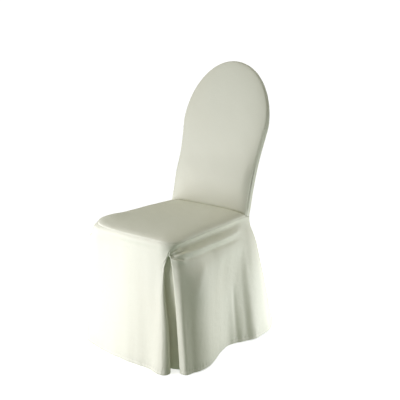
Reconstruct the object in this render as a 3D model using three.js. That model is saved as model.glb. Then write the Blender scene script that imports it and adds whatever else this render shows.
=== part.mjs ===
// A fitted banquet chair cover, hanging as it does over a stacking chair with a round-topped back.
// Millimetres, +Z up, the front of the chair towards -Y. Every piece is a thin sheet of cloth.
// While it is being laid out, y = 0 is the foot of the back and z = 0 is the floor.

import * as THREE from "three";

// ---- cloth ----
const CLOTH = 1.5; // thickness
const SEAM_GAP = 0.3; // between two pieces sewn together
const SEAM_REACH = 4.6; // edge points this close to each other belong to one seam
const DRAWN_BACK = { two: 0.75, more: 0.9 }; // share of the gap each piece gives, by how many meet
const SHARPEST_SEAM = 0.2;
const SAME_POINT = 1e-4;
const MITRE_ROUNDS = 60;
const MITRE_LENGTH = { least: 0.5, most: 2 };

// ---- seat ----
const SEAT_HEIGHT = 446; // seam round the seat, above the floor
const SEAT_DEPTH = 411; // foot of the back to the front corners
const SEAT_FRONT_HALF = 187;
const SEAT_REAR_HALF = 177;
const FRONT_BOW = 11; // how far the front edge bows forward in the middle
const CORNER_REACH = 56; // length of each straight side that a front corner rounds off
const CORNER_FULLNESS = 0.55; // over 0.5 squares the corner up
const SEAT_CROWN = 13;
const CROWN_FALLS = { side: 6, front: 9 }; // powers: the higher, the nearer the edge it falls away
const SEAT_PADDING = { high: 7.5, soft: 8.5 }; // how the padding swells up as it leaves its seams
const SEAT_SPREAD = 1.25; // over 1 sets the columns of the seat closer together towards its sides
const CORNER_DROOP = { deep: 5, wide: 26 }; // how far the right pleat pulls the seam down at its corner
const CORNER_LIFT = { high: 8, wide: 50 }; // how far the seam stands up at the left corner
const EDGE_HOLDS = { rear: 14, side: 20 }; // powers: the higher, the nearer the edge the seat comes down to it

// ---- back ----
const BACK_LENGTH = 562; // from its foot to its top, along the slope
const ROUND_TOP = 231; // height of the rounded part, along the slope
const TOP_HALF = 190.6; // half its width where the rounding starts
const BACK_CROWN = 13; // how far the middle of the inside back stands proud of its seam
const BACK_CROWN_FALLS = 5;
const FOOT_CROWN_FALLS = 4;
const BACK_PADDING = { high: 5, soft: 10 };
const SMALL_OF_BACK = { up: 122, tall: 42, out: 12, side: 45 }; // a band that stands out across the inside back
const FOOT_BLEND = 150; // height over which the inside back's foot takes up the seat's crown
const STRIP_BULGE = 3;
const BACK_HANG = 10; // how far the outside back stands off in the middle
const BACK_ROWS = 20;
const STRAIGHT_ROWS = 9;
const LAST_TURN = 78; // degrees round the top of the last row but one
const PROFILE_STEPS = 80;

const BACK_WIDTHS = [
  { up: 0, half: SEAT_REAR_HALF },
  { up: 110, half: 174.5 },
  { up: 222, half: 178 },
  { up: BACK_LENGTH - ROUND_TOP, half: TOP_HALF },
];

// Slope of the back from the upright, at equal steps from its foot to its top.
const BACK_SLOPES = [14.6, 17.4, 18.2, 16.0, 13.1];

// The strip between the two back panels. slimmer: how much the outside back is inside the inside back.
const STRIP_WIDTHS = [
  { up: 0, width: 27, slimmer: 2 },
  { up: 70, width: 27.5, slimmer: 2.4 },
  { up: 140, width: 27.5, slimmer: 2.8 },
  { up: 210, width: 27.2, slimmer: 3.0 },
  { up: 280, width: 26, slimmer: 3.2 },
  { up: 350, width: 22, slimmer: 3.5 },
  { up: 420, width: 16, slimmer: 3.5 },
  { up: 490, width: 13, slimmer: 3.5 },
  { up: BACK_LENGTH, width: 13, slimmer: 3.5 },
];

// ---- skirt ----
const TACK = 40; // depth below the seat seam at which each corner pleat is tacked shut
const SEAM_AT = 198; // place of the corner seams along the seat's rim, from its front middle
const POST_AT = 581; // foot of the back, measured the same way
const REAR_SEAM_AT = POST_AT + STRIP_WIDTHS[0].width;

// Each row is a line down the cloth. at: place along the seat's rim, from the front middle.
// lean: how far it swings forward along the rim on its way down to the tack.
// hemX, hemY: where it hangs at the hem, seen from above.
// curve: under 1 leaves the seat early, over 1 leaves it late.
const FRONT_LINES = [
  { name: "left turn", at: -194, lean: -3, hemX: -239, hemY: -397, curve: 0.42 },
  { name: "left corner", at: -181, lean: -2, hemX: -234, hemY: -411, curve: 0.42 },
  { name: "left edge", at: -163, lean: 0, hemX: -218, hemY: -424, curve: 0.45 },
  { name: "left side", at: -138, lean: 0, hemX: -187, hemY: -433, curve: 0.65 },
  { name: "left swell", at: -107, lean: 0, hemX: -141, hemY: -438, curve: 0.85 },
  { name: "left hollow", at: -72, lean: 0, hemX: -90, hemY: -441, curve: 1.0 },
  { name: "left middle", at: -36, lean: 0, hemX: -42, hemY: -443, curve: 1.0 },
  { name: "middle", at: 0, lean: 0, hemX: 1, hemY: -442, curve: 1.0 },
  { name: "right middle", at: 36, lean: 0, hemX: 38, hemY: -438, curve: 1.0 },
  { name: "right hollow", at: 72, lean: 0, hemX: 72, hemY: -434, curve: 1.0 },
  { name: "right swell", at: 107, lean: 0, hemX: 99, hemY: -434, curve: 1.0 },
  { name: "right side", at: 138, lean: 5, hemX: 123, hemY: -439, curve: 1.0 },
  { name: "right edge", at: 163, lean: 13, hemX: 140, hemY: -441, curve: 0.9 },
  { name: "right corner", at: 181, lean: 25, hemX: 153, hemY: -439, curve: 0.85 },
  { name: "right turn", at: 194, lean: 35, hemX: 159, hemY: -435, curve: 0.8 },
];

const RIGHT_LINES = [
  { name: "turn", at: 202, lean: 34, hemX: 198, hemY: -391, curve: 0.6 },
  { name: "roll", at: 211, lean: 29, hemX: 210, hemY: -388, curve: 0.52 },
  { name: "lobe front", at: 226, lean: 21, hemX: 221, hemY: -379, curve: 0.5 },
  { name: "lobe", at: 248, lean: 12, hemX: 231, hemY: -360, curve: 0.46 },
  { name: "lobe back", at: 276, lean: 6, hemX: 238, hemY: -332, curve: 0.45 },
  { name: "front swell", at: 308, lean: 2, hemX: 240, hemY: -302, curve: 0.55 },
  { name: "front quarter", at: 342, lean: 0, hemX: 234, hemY: -268, curve: 0.78 },
  { name: "middle", at: 376, lean: 0, hemX: 225, hemY: -235, curve: 1.0 },
  { name: "hollow front", at: 410, lean: 0, hemX: 215, hemY: -201, curve: 1.05 },
  { name: "hollow", at: 442, lean: 0, hemX: 206, hemY: -167, curve: 1.1 },
  { name: "hollow back", at: 472, lean: 0, hemX: 207, hemY: -135, curve: 1.05 },
  { name: "wing front", at: 500, lean: 0, hemX: 221, hemY: -105, curve: 1.2 },
  { name: "wing", at: 527, lean: 0, hemX: 241, hemY: -75, curve: 1.15 },
  { name: "wing back", at: 554, lean: 0, hemX: 258, hemY: -42, curve: 0.95 },
  { name: "post", at: POST_AT, lean: 0, hemX: 264, hemY: -6, curve: 0.75 },
  { name: "strip", at: POST_AT + 13.5, lean: 0, hemX: 263, hemY: 32, curve: 0.68 },
  { name: "rear seam", at: REAR_SEAM_AT, lean: 0, hemX: 254, hemY: 68, curve: 0.65 },
];

const LEFT_LINES = [
  { name: "turn", at: -202, lean: 0, hemX: -244, hemY: -368, curve: 0.42 },
  { name: "roll", at: -211, lean: 0, hemX: -247, hemY: -358, curve: 0.45 },
  { name: "lobe front", at: -226, lean: 0, hemX: -250, hemY: -344, curve: 0.5 },
  { name: "lobe", at: -248, lean: 0, hemX: -251, hemY: -324, curve: 0.6 },
  { name: "lobe back", at: -276, lean: 0, hemX: -249, hemY: -299, curve: 0.75 },
  { name: "front swell", at: -308, lean: 0, hemX: -242, hemY: -273, curve: 0.9 },
  { name: "front quarter", at: -342, lean: 0, hemX: -234, hemY: -243, curve: 1.0 },
  { name: "middle", at: -376, lean: 0, hemX: -224, hemY: -214, curve: 1.0 },
  { name: "hollow front", at: -410, lean: 0, hemX: -215, hemY: -184, curve: 1.05 },
  { name: "hollow", at: -442, lean: 0, hemX: -212, hemY: -154, curve: 1.1 },
  { name: "hollow back", at: -472, lean: 0, hemX: -218, hemY: -125, curve: 1.05 },
  { name: "wing front", at: -500, lean: 0, hemX: -230, hemY: -97, curve: 1.0 },
  { name: "wing", at: -527, lean: 0, hemX: -245, hemY: -68, curve: 1.0 },
  { name: "wing back", at: -554, lean: 0, hemX: -258, hemY: -38, curve: 1.0 },
  { name: "post", at: -POST_AT, lean: 0, hemX: -266, hemY: -4, curve: 1.0 },
  { name: "strip", at: -POST_AT - 13.5, lean: 0, hemX: -269, hemY: 35, curve: 1.0 },
  { name: "rear seam", at: -REAR_SEAM_AT, lean: 0, hemX: -262, hemY: 75, curve: 1.0 },
];

const REAR_LINES = [
  { name: "right seam", at: REAR_SEAM_AT, lean: 0, hemX: 254, hemY: 68, curve: 0.65 },
  { name: "right corner", at: 619, lean: 0, hemX: 241, hemY: 99, curve: 0.7 },
  { name: "right wing", at: 634, lean: 0, hemX: 223, hemY: 126, curve: 0.9 },
  { name: "right side", at: 654, lean: 0, hemX: 192, hemY: 140, curve: 0.95 },
  { name: "right quarter", at: 680, lean: 0, hemX: 155, hemY: 142, curve: 1.05 },
  { name: "right hollow", at: 708, lean: 0, hemX: 113, hemY: 133, curve: 1.1 },
  { name: "right middle", at: 738, lean: 0, hemX: 68, hemY: 130, curve: 1.1 },
  { name: "middle", at: 772, lean: 0, hemX: 18, hemY: 137, curve: 1.0 },
  { name: "left middle", at: 806, lean: 0, hemX: -32, hemY: 146, curve: 1.0 },
  { name: "left swell", at: 838, lean: 0, hemX: -78, hemY: 148, curve: 1.0 },
  { name: "left hollow", at: 868, lean: 0, hemX: -121, hemY: 141, curve: 1.05 },
  { name: "left quarter", at: 896, lean: 0, hemX: -162, hemY: 137, curve: 1.05 },
  { name: "left side", at: 920, lean: 0, hemX: -200, hemY: 137, curve: 1.0 },
  { name: "left wing", at: 936, lean: 0, hemX: -228, hemY: 127, curve: 1.0 },
  { name: "left corner", at: 947, lean: 0, hemX: -250, hemY: 105, curve: 1.0 },
  { name: "left seam", at: 956, lean: 0, hemX: -262, hemY: 75, curve: 1.0 },
];

// Soft swells and hollows of the cloth. at, below: where each is deepest. wide, tall: its spread.
const SWELLS = [
  { panel: "front", name: "seat edge", at: 20, wide: 140, below: 12, tall: 9, out: 3 },
  { panel: "front", name: "left pad corner", at: -185, wide: 45, below: 34, tall: 25, out: 14 },
  { panel: "front", name: "left billow", at: -185, wide: 50, below: 125, tall: 60, out: 11 },
  { panel: "front", name: "seat frame", at: 0, wide: 120, below: 31, tall: 8, out: -3 },
  { panel: "right", name: "seat edge", at: 400, wide: 130, below: 5, tall: 4, out: 1.5 },
  { panel: "right", name: "tuck", at: 290, wide: 140, below: 22, tall: 11, out: -14 },
  { panel: "right", name: "under the drag fold", at: 330, wide: 120, below: 80, tall: 16, out: -7 },
  { panel: "right", name: "billow", at: 300, wide: 54, below: 160, tall: 58, out: 8 },
  { panel: "right", name: "upper billow", at: 468, wide: 88, below: 86, tall: 34, out: 10 },
  { panel: "left", name: "seat edge", at: -400, wide: 150, below: 11, tall: 11, out: 8 },
  { panel: "left", name: "pad corner", at: -205, wide: 50, below: 34, tall: 25, out: 12 },
  { panel: "left", name: "tuck", at: -450, wide: 120, below: 32, tall: 11, out: -3 },
  { panel: "left", name: "billow", at: -210, wide: 55, below: 125, tall: 60, out: 11 },
];

// Soft swells and hollows of the seat, seen from above.
const SEAT_SWELLS = [
  { name: "left front corner", x: -165, y: -360, wide: 42, rise: 9 },
  { name: "left side", x: -165, y: -190, wide: 75, rise: 3 },
  { name: "where the sitter's weight goes", x: 10, y: -190, wide: 95, rise: -3 },
];

const SKIRT_DEPTHS = [0, 9, 24, TACK, 56, 78, 120, 180, 250, 325, 390, SEAT_HEIGHT];

// ---- corner pleats ----
// The panels' edges roll in and run back behind them.
const ROLL_TURNS = [38, 76, 114, 150]; // degrees turned by each column of a roll
const ROLL_AT_TACK = 1.7; // radius of the rolls where the pleat is shut
const ROLL_AT_HEM = { right: 20, left: 10, side: 9 };
const ROLL_GROWS = 1.15; // over 1 widens late
const RETURN_AT_TACK = 12; // how far the rolled edges run back
const RETURN_AT_HEM = 34;
const INSERT_TOP = 52; // depth below the seat seam at which the inserts start
const INSERT_STEPS = 6;
const INSERT_CLEARANCE = 2.3; // insert to rolled edge, middle to middle of the cloth
const INSERT_SET_BACK = { top: 8, hem: 3 };
const BELOW_SEAT = 3; // turned edges stop this far under the seat

// ---- small helpers ----
const clamp01 = (value) => Math.min(1, Math.max(0, value));
const mix = (a, b, share) => a + (b - a) * share;
const smooth = (share) => clamp01(share) ** 2 * (3 - 2 * clamp01(share));
const bump = (distance, spread) => Math.exp(-0.5 * (distance / spread) ** 2);
const padding = (reach, { high, soft }) => high * (1 - Math.exp(-reach / soft));

// Value of one column of a table, part-way between its rows, on a smooth curve through them.
function along(rows, column, place) {
  const last = rows.length - 1;
  const row = Math.min(Math.floor(place), last - 1);
  const at = (index) => rows[Math.min(last, Math.max(0, index))][column];
  const share = place - row;
  const from = at(row);
  const to = at(row + 1);
  const slopeFrom = (to - at(row - 1)) / (row > 0 ? 2 : 1);
  const slopeTo = (at(row + 2) - from) / (row + 2 <= last ? 2 : 1);
  const a = 2 * from - 2 * to + slopeFrom + slopeTo;
  const b = -3 * from + 3 * to - 2 * slopeFrom - slopeTo;
  return ((a * share + b) * share + slopeFrom) * share + from;
}

// ---- the back's shape ----
const slopeAt = (up) => {
  const spans = BACK_SLOPES.length - 1;
  const place = (up / BACK_LENGTH) * spans;
  const row = Math.min(Math.max(0, Math.floor(place)), spans - 1);
  return THREE.MathUtils.degToRad(mix(BACK_SLOPES[row], BACK_SLOPES[row + 1], place - row));
};

const backProfile = [{ y: 0, z: SEAT_HEIGHT }];
for (let step = 0; step < PROFILE_STEPS; step += 1) {
  const length = BACK_LENGTH / PROFILE_STEPS;
  const slope = slopeAt((step + 0.5) * length);
  const last = backProfile[step];
  backProfile.push({ y: last.y + Math.sin(slope) * length, z: last.z + Math.cos(slope) * length });
}

// Point on the sloping middle line of the inside back's seam, a given length up from its foot.
function backLine(up) {
  const place = (up / BACK_LENGTH) * PROFILE_STEPS;
  const step = Math.min(PROFILE_STEPS - 1, Math.max(0, Math.floor(place)));
  const from = backProfile[step];
  const to = backProfile[step + 1];
  return new THREE.Vector3(0, mix(from.y, to.y, place - step), mix(from.z, to.z, place - step));
}

const forwards = (up) => new THREE.Vector3(0, -Math.cos(slopeAt(up)), Math.sin(slopeAt(up)));

function backHalfWidth(up) {
  const straight = BACK_LENGTH - ROUND_TOP;
  if (up >= straight) {
    return TOP_HALF * Math.sqrt(Math.max(0, 1 - ((up - straight) / ROUND_TOP) ** 2));
  }
  const next = BACK_WIDTHS.findIndex((row) => row.up > up);
  const low = BACK_WIDTHS[next - 1];
  const high = BACK_WIDTHS[next];
  return mix(low.half, high.half, smooth((up - low.up) / (high.up - low.up)));
}

// How far a point is towards the edge of a back panel: 0 on its middle line, 1 on its seam.
function towardsEdge(x, up) {
  const straight = BACK_LENGTH - ROUND_TOP;
  const rise = Math.max(0, up - straight) / ROUND_TOP;
  const width = up < straight ? backHalfWidth(up) : TOP_HALF;
  return Math.min(1, Math.hypot(x / width, rise));
}

// ---- the seat's rim, from the front middle round the right side to the rear middle ----
function makeRim() {
  const start = SEAT_FRONT_HALF - CORNER_REACH;
  const front = -(SEAT_DEPTH + FRONT_BOW);
  const startY = front + FRONT_BOW * (start / SEAT_FRONT_HALF) ** 2;
  const side = new THREE.Vector2(SEAT_REAR_HALF - SEAT_FRONT_HALF, SEAT_DEPTH).normalize();
  const corner = new THREE.Vector2(SEAT_FRONT_HALF, startY + (2 * (startY - front) * CORNER_REACH) / start);
  const end = corner.clone().addScaledVector(side, CORNER_REACH);
  const rim = new THREE.Path();
  rim.moveTo(0, front);
  rim.quadraticCurveTo(start / 2, front, start, startY);
  rim.bezierCurveTo(
    mix(start, corner.x, CORNER_FULLNESS), mix(startY, corner.y, CORNER_FULLNESS),
    mix(end.x, corner.x, CORNER_FULLNESS), mix(end.y, corner.y, CORNER_FULLNESS),
    end.x, end.y,
  );
  rim.lineTo(SEAT_REAR_HALF, 0);
  return rim;
}

const rim = makeRim();
const rimLength = rim.getLength();
const stripFoot = STRIP_WIDTHS[0];
const rearFoot = backLine(0).addScaledVector(forwards(0), -stripFoot.width);
rearFoot.setX(SEAT_REAR_HALF * (1 - stripFoot.slimmer / TOP_HALF));
const rearSpan = 2 * rearFoot.x;

// Plan point of the rim on the right-hand side of the cover, or on its rear edge.
function rimRight(at) {
  if (at <= POST_AT) {
    const flat = rim.getPointAt(clamp01(at / POST_AT));
    return new THREE.Vector3(flat.x, flat.y, 0);
  }
  if (at <= REAR_SEAM_AT) {
    const share = (at - POST_AT) / stripFoot.width;
    return new THREE.Vector3(mix(SEAT_REAR_HALF, rearFoot.x, share), rearFoot.y * share, 0);
  }
  const across = 1 - (2 * (at - REAR_SEAM_AT)) / rearSpan;
  return new THREE.Vector3(rearFoot.x * across, rearFoot.y + BACK_HANG * (1 - across ** 2), 0);
}

const rimPoint = (at) => (at < 0 ? rimRight(-at).multiply(new THREE.Vector3(-1, 1, 1)) : rimRight(at));

// Outward direction of the rim, in plan. Each side keeps its own as far as its rear seam.
function rimOutward(at) {
  const step = 1;
  const [least, most] = at > REAR_SEAM_AT ? [REAR_SEAM_AT, Infinity] : [-REAR_SEAM_AT, REAR_SEAM_AT];
  const ahead = rimPoint(Math.min(at + step, most));
  const direction = ahead.sub(rimPoint(Math.max(at - step, least))).normalize();
  return new THREE.Vector3(direction.y, -direction.x, 0);
}

function rimHeight(at) {
  const onStrip = clamp01((Math.abs(at) - POST_AT) / stripFoot.width);
  const droop = CORNER_DROOP.deep * bump(at - (SEAM_AT - TACK / 2), CORNER_DROOP.wide);
  const lift = CORNER_LIFT.high * bump(at + SEAM_AT, CORNER_LIFT.wide);
  return SEAT_HEIGHT + lift - droop + (rearFoot.z - SEAT_HEIGHT) * onStrip;
}

// ---- the skirt ----
function swellOut(panel, at, below) {
  let sum = 0;
  for (const row of SWELLS.filter((swell) => swell.panel === panel)) {
    sum += row.out * bump(at - row.at, row.wide) * bump(below - row.below, row.tall);
  }
  return sum * smooth(below / 10);
}

// Point of a skirt panel. line: a row of its table, or the same columns between rows.
function skirtPoint(panel, line, below) {
  const drop = SEAT_HEIGHT;
  const at = line.at - line.lean * (1 - (1 - clamp01(below / TACK)) ** 1.2);
  const point = rimPoint(at);
  const hem = rimPoint(line.at - line.lean);
  const move = new THREE.Vector3(line.hemX - hem.x, line.hemY - hem.y, 0);
  const pastTack = clamp01((below - TACK) / (drop - TACK)) ** line.curve;
  point.addScaledVector(move, pastTack);
  point.addScaledVector(rimOutward(at), swellOut(panel, line.at, below));
  point.z = mix(rimHeight(line.at), move.lengthSq() / (2 * drop), below / drop);
  return point;
}

const panelColumns = (panel, lines) =>
  SKIRT_DEPTHS.map((below) => lines.map((line) => skirtPoint(panel, line, below)));

// Point a given distance back along a row of points from its first one.
function backAlong(row, distance) {
  let left = distance;
  for (let index = 0; index < row.length - 1; index += 1) {
    const step = row[index].distanceTo(row[index + 1]);
    if (left <= step) {
      return row[index].clone().lerp(row[index + 1], left / step);
    }
    left -= step;
  }
  return row.at(-1).clone();
}

// Rolled edge at a corner pleat. row: the panel's points, from the end that rolls.
function pleatEdge(row, below, rollAtHem) {
  const down = clamp01((below - TACK) / (SEAT_HEIGHT - TACK));
  const radius = mix(ROLL_AT_TACK, rollAtHem, down ** ROLL_GROWS);
  const length = mix(RETURN_AT_TACK, RETURN_AT_HEM, down);
  const turn = row[0];
  const behind = backAlong(row, length);
  const ahead = turn.clone().sub(row[1]).setZ(0).normalize();
  const inward = new THREE.Vector3(-ahead.y, ahead.x, 0);
  const toMiddle = new THREE.Vector3(-turn.x, -SEAT_DEPTH / 2 - turn.y, 0);
  inward.multiplyScalar(Math.sign(inward.dot(toMiddle)));
  const rolled = ROLL_TURNS.map((turned) => {
    const angle = THREE.MathUtils.degToRad(turned);
    const point = turn.clone().addScaledVector(ahead, radius * Math.sin(angle));
    return point.addScaledVector(inward, radius * (1 - Math.cos(angle)));
  });
  const back = turn.clone().sub(behind).setZ(0).normalize();
  const deep = new THREE.Vector3(-back.y, back.x, 0);
  deep.multiplyScalar(Math.sign(deep.dot(toMiddle)));
  const inner = behind.addScaledVector(deep, 2 * radius + 1);
  return { rolled, inner, inward: deep };
}

// A turned edge starts a little lower than the seam.
function lowered(point, below, drop) {
  return point.clone().setZ(point.z - drop * (1 - clamp01(below / SKIRT_DEPTHS[1])));
}

// ---- sheets: grids of points that become thin solids ----
class Sheet {
  constructor({ name, grid, flipped = false, onSeam = () => false }) {
    this.name = name;
    this.grid = grid;
    this.flipped = flipped;
    this.points = [];
    this.index = grid.map((row) => row.map((point) => this.addPoint(point)));
    this.faces = this.makeFaces();
    this.normals = this.makeNormals();
    this.edges = this.makeEdges();
    this.seam = this.seamPoints(onSeam);
  }

  addPoint(point) {
    const found = this.points.findIndex((other) => other.distanceTo(point) < SAME_POINT);
    if (found >= 0) {
      return found;
    }
    this.points.push(point);
    return this.points.length - 1;
  }

  makeFaces() {
    const faces = [];
    for (let row = 0; row < this.grid.length - 1; row += 1) {
      for (let column = 0; column < this.grid[row].length - 1; column += 1) {
        const a = this.index[row][column];
        const b = this.index[row][column + 1];
        const c = this.index[row + 1][column + 1];
        const d = this.index[row + 1][column];
        faces.push([a, b, c], [a, c, d]);
      }
    }
    const whole = faces.filter(([a, b, c]) => a !== b && b !== c && c !== a);
    return this.flipped ? whole.map(([a, b, c]) => [a, c, b]) : whole;
  }

  makeNormals() {
    const normals = this.points.map(() => new THREE.Vector3());
    for (const [a, b, c] of this.faces) {
      const first = this.points[b].clone().sub(this.points[a]);
      const second = this.points[c].clone().sub(this.points[a]);
      const normal = first.cross(second);
      [a, b, c].forEach((corner) => normals[corner].add(normal));
    }
    return normals.map((normal) => normal.normalize());
  }

  // Edges with a face on one side only, in that face's direction.
  makeEdges() {
    const edges = this.faces.flatMap(([a, b, c]) => [[a, b], [b, c], [c, a]]);
    const seen = new Set(edges.map(([from, to]) => `${from} ${to}`));
    return edges.filter(([from, to]) => !seen.has(`${to} ${from}`));
  }

  // Points of the sheet's own edge where it is sewn to its neighbours.
  seamPoints(onSeam) {
    const onEdge = new Set(this.edges.flat());
    const found = new Set();
    this.index.forEach((row, r) => row.forEach((point, c) => {
      if (onEdge.has(point) && onSeam(r, c, this.grid.length - 1, row.length - 1)) {
        found.add(point);
      }
    }));
    return found;
  }

  // Direction from an edge point into its own sheet.
  intoSheet(point) {
    const inward = new THREE.Vector3();
    for (const face of this.faces.filter((corners) => corners.includes(point))) {
      const middle = new THREE.Vector3();
      face.forEach((corner) => middle.addScaledVector(this.points[corner], 1 / 3));
      inward.add(middle.sub(this.points[point]).normalize());
    }
    const normal = this.normals[point];
    const edge = new THREE.Vector3();
    for (const [from, to] of this.edges.filter((ends) => ends.includes(point))) {
      edge.add(this.points[to].clone().sub(this.points[from]).normalize());
    }
    inward.addScaledVector(normal, -inward.dot(normal));
    if (edge.lengthSq() > 1) {
      edge.normalize();
      inward.addScaledVector(edge, -inward.dot(edge));
    }
    return inward.normalize();
  }
}

// Offset that keeps every sheet at a seam the same thickness: its dot product with each normal is 1.
function mitre(normals) {
  const sum = normals.reduce((total, normal) => total.add(normal), new THREE.Vector3());
  const offset = sum.normalize();
  for (let round = 0; round < MITRE_ROUNDS; round += 1) {
    for (const normal of normals) {
      offset.addScaledVector(normal, 0.5 * (1 - offset.dot(normal)));
    }
  }
  return offset.clampLength(MITRE_LENGTH.least, MITRE_LENGTH.most);
}

// Normals of every sheet that meets a point of a seam, its own first.
function normalsAt(sheet, index, sheets) {
  const normals = [sheet.normals[index]];
  if (!sheet.seam.has(index)) {
    return normals;
  }
  for (const other of sheets.filter((candidate) => candidate !== sheet)) {
    const here = sheet.points[index];
    const near = [...other.seam].filter((point) => other.points[point].distanceTo(here) < SEAM_REACH);
    normals.push(...near.map((point) => other.normals[point]));
  }
  return normals;
}

// How far a point of a seam is drawn back into its own sheet, so that the pieces do not touch.
function drawnBack(sheet, index, normals) {
  if (normals.length < 2) {
    return new THREE.Vector3();
  }
  const facing = Math.min(...normals.slice(1).map((normal) => normal.dot(normals[0])));
  const halfAngle = Math.sqrt(Math.max(SHARPEST_SEAM, (1 + facing) / 2));
  const share = normals.length > 2 ? DRAWN_BACK.more : DRAWN_BACK.two;
  return sheet.intoSheet(index).multiplyScalar((share * SEAM_GAP) / halfAngle);
}

function solidOf(sheet, sheets) {
  const outer = [];
  const inner = [];
  sheet.points.forEach((point, index) => {
    const normals = normalsAt(sheet, index, sheets);
    const offset = normals.length > 1 ? mitre(normals) : normals[0];
    const shifted = point.clone().add(drawnBack(sheet, index, normals));
    outer.push(shifted.clone().addScaledVector(offset, CLOTH / 2));
    inner.push(shifted.clone().addScaledVector(offset, -CLOTH / 2));
  });
  const count = outer.length;
  const triangles = [];
  for (const [a, b, c] of sheet.faces) {
    triangles.push(a, b, c, a + count, c + count, b + count);
  }
  for (const [from, to] of sheet.edges) {
    triangles.push(from, from + count, to + count, from, to + count, to);
  }
  const geometry = new THREE.BufferGeometry().setFromPoints([...outer, ...inner]);
  geometry.setIndex(triangles);
  geometry.computeVertexNormals();
  return geometry;
}

// A panel's row with its rolled edges. first, last: radius at the hem of the roll at that end, if any.
function withReturns(row, below, { first, last }) {
  const whole = [...row];
  const edges = {};
  const hidden = ({ rolled, inner }) => [
    lowered(rolled[0], below, BELOW_SEAT / 2),
    ...[...rolled.slice(1), inner].map((point) => lowered(point, below, BELOW_SEAT)),
  ];
  if (last) {
    edges.last = pleatEdge([...row].reverse(), below, last);
    whole.push(...hidden(edges.last));
  }
  if (first) {
    edges.first = pleatEdge(row, below, first);
    whole.unshift(...hidden(edges.first).reverse());
  }
  return { whole, edges };
}

// ---- skirt panels ----
const frontGrid = panelColumns("front", FRONT_LINES);
const rightGrid = panelColumns("right", RIGHT_LINES);
const leftGrid = panelColumns("left", LEFT_LINES);
const rearSkirtGrid = panelColumns("rear", REAR_LINES);

// The rear seam is one line that both its panels share.
rearSkirtGrid.forEach((row, index) => {
  row[0] = rightGrid[index].at(-1).clone();
  row[row.length - 1] = leftGrid[index].at(-1).clone();
});

const RETURN_COLUMNS = ROLL_TURNS.length + 1;
const rolledRows = (grid, rolls) => grid.map((row, i) => withReturns(row, SKIRT_DEPTHS[i], rolls));
const frontRows = rolledRows(frontGrid, { first: ROLL_AT_HEM.left, last: ROLL_AT_HEM.right });
const rightRows = rolledRows(rightGrid, { first: ROLL_AT_HEM.side });
const leftRows = rolledRows(leftGrid, { first: ROLL_AT_HEM.side });

// Insert behind a pleat, from behind the front panel's rolled edge to behind the side panel's.
function insertGrid(frontEdge, sideRows) {
  const rows = SKIRT_DEPTHS.map((below, i) => ({
    below,
    front: frontRows[i].edges[frontEdge],
    side: sideRows[i].edges.first,
  }));
  return rows.filter((row) => row.below >= INSERT_TOP).map(({ below, front, side }) => {
    const down = clamp01((below - TACK) / (SEAT_HEIGHT - TACK));
    const start = front.inner.clone().addScaledVector(front.inward, INSERT_CLEARANCE);
    const end = side.inner.clone().addScaledVector(side.inward, INSERT_CLEARANCE);
    const inward = front.inward.clone().add(side.inward).normalize();
    const middle = front.rolled.at(-1).clone().add(side.rolled.at(-1)).multiplyScalar(0.5);
    middle.addScaledVector(inward, mix(INSERT_SET_BACK.top, INSERT_SET_BACK.hem, down));
    return new THREE.QuadraticBezierCurve3(start, middle, end).getPoints(INSERT_STEPS);
  });
}

// ---- seat, back panels and the strip between them ----

// Height of a row up the back. The rows of the round top are even steps of angle, to one wide last step.
function backRowUp(row) {
  const straight = BACK_LENGTH - ROUND_TOP;
  if (row <= STRAIGHT_ROWS) {
    return (straight * row) / STRAIGHT_ROWS;
  }
  const angle = (LAST_TURN * (row - STRAIGHT_ROWS)) / (BACK_ROWS - STRAIGHT_ROWS - 1);
  return row === BACK_ROWS ? BACK_LENGTH : straight + ROUND_TOP * Math.sin(THREE.MathUtils.degToRad(angle));
}

function insideBackPoint(across, up) {
  const crownLift = SEAT_CROWN * (1 - across ** FOOT_CROWN_FALLS) * (1 - smooth(up / FOOT_BLEND));
  const place = up + crownLift;
  const x = across * backHalfWidth(up);
  const edge = towardsEdge(x, up);
  const crown = BACK_CROWN * (1 - edge ** BACK_CROWN_FALLS);
  const toSeam = Math.min(up, (1 - edge) * TOP_HALF);
  const band = SMALL_OF_BACK.out * bump(up - SMALL_OF_BACK.up, SMALL_OF_BACK.tall);
  const out = crown + padding(toSeam, BACK_PADDING) + band * smooth(toSeam / SMALL_OF_BACK.side);
  return backLine(Math.min(BACK_LENGTH, place)).setX(x).addScaledVector(forwards(place), out);
}

function rearRimPoint(side, up) {
  const place = (up / BACK_LENGTH) * (STRIP_WIDTHS.length - 1);
  const slimmer = along(STRIP_WIDTHS, "slimmer", place);
  const shrunk = 1 - slimmer / TOP_HALF;
  const round = Math.max(0, up - (BACK_LENGTH - ROUND_TOP));
  const lower = up - round * (1 - shrunk);
  const point = backLine(lower).addScaledVector(forwards(up), -along(STRIP_WIDTHS, "width", place));
  return point.setX(side * backHalfWidth(up) * shrunk);
}

function outsideBackPoint(across, up) {
  const middle = rearRimPoint(0, up);
  const half = rearRimPoint(1, up).x;
  const rise = Math.max(0, up - (BACK_LENGTH - ROUND_TOP)) / ROUND_TOP;
  const hang = BACK_HANG * (1 - across ** 2) * (1 - rise ** 2);
  return new THREE.Vector3(across * half, middle.y + hang, middle.z);
}

const seatColumns = frontGrid[0].length - 1;
const sideSeatRows = RIGHT_LINES.findIndex((line) => line.name === "post");
const seatAcross = frontGrid[0].map((point, index) => {
  const share = (2 * index) / seatColumns - 1;
  return Math.sign(share) * (1 - (1 - Math.abs(share)) ** SEAT_SPREAD);
});

const insideBackGrid = [];
for (let row = 0; row <= BACK_ROWS; row += 1) {
  insideBackGrid.push(seatAcross.map((across) => insideBackPoint(across, backRowUp(row))));
}

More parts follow.
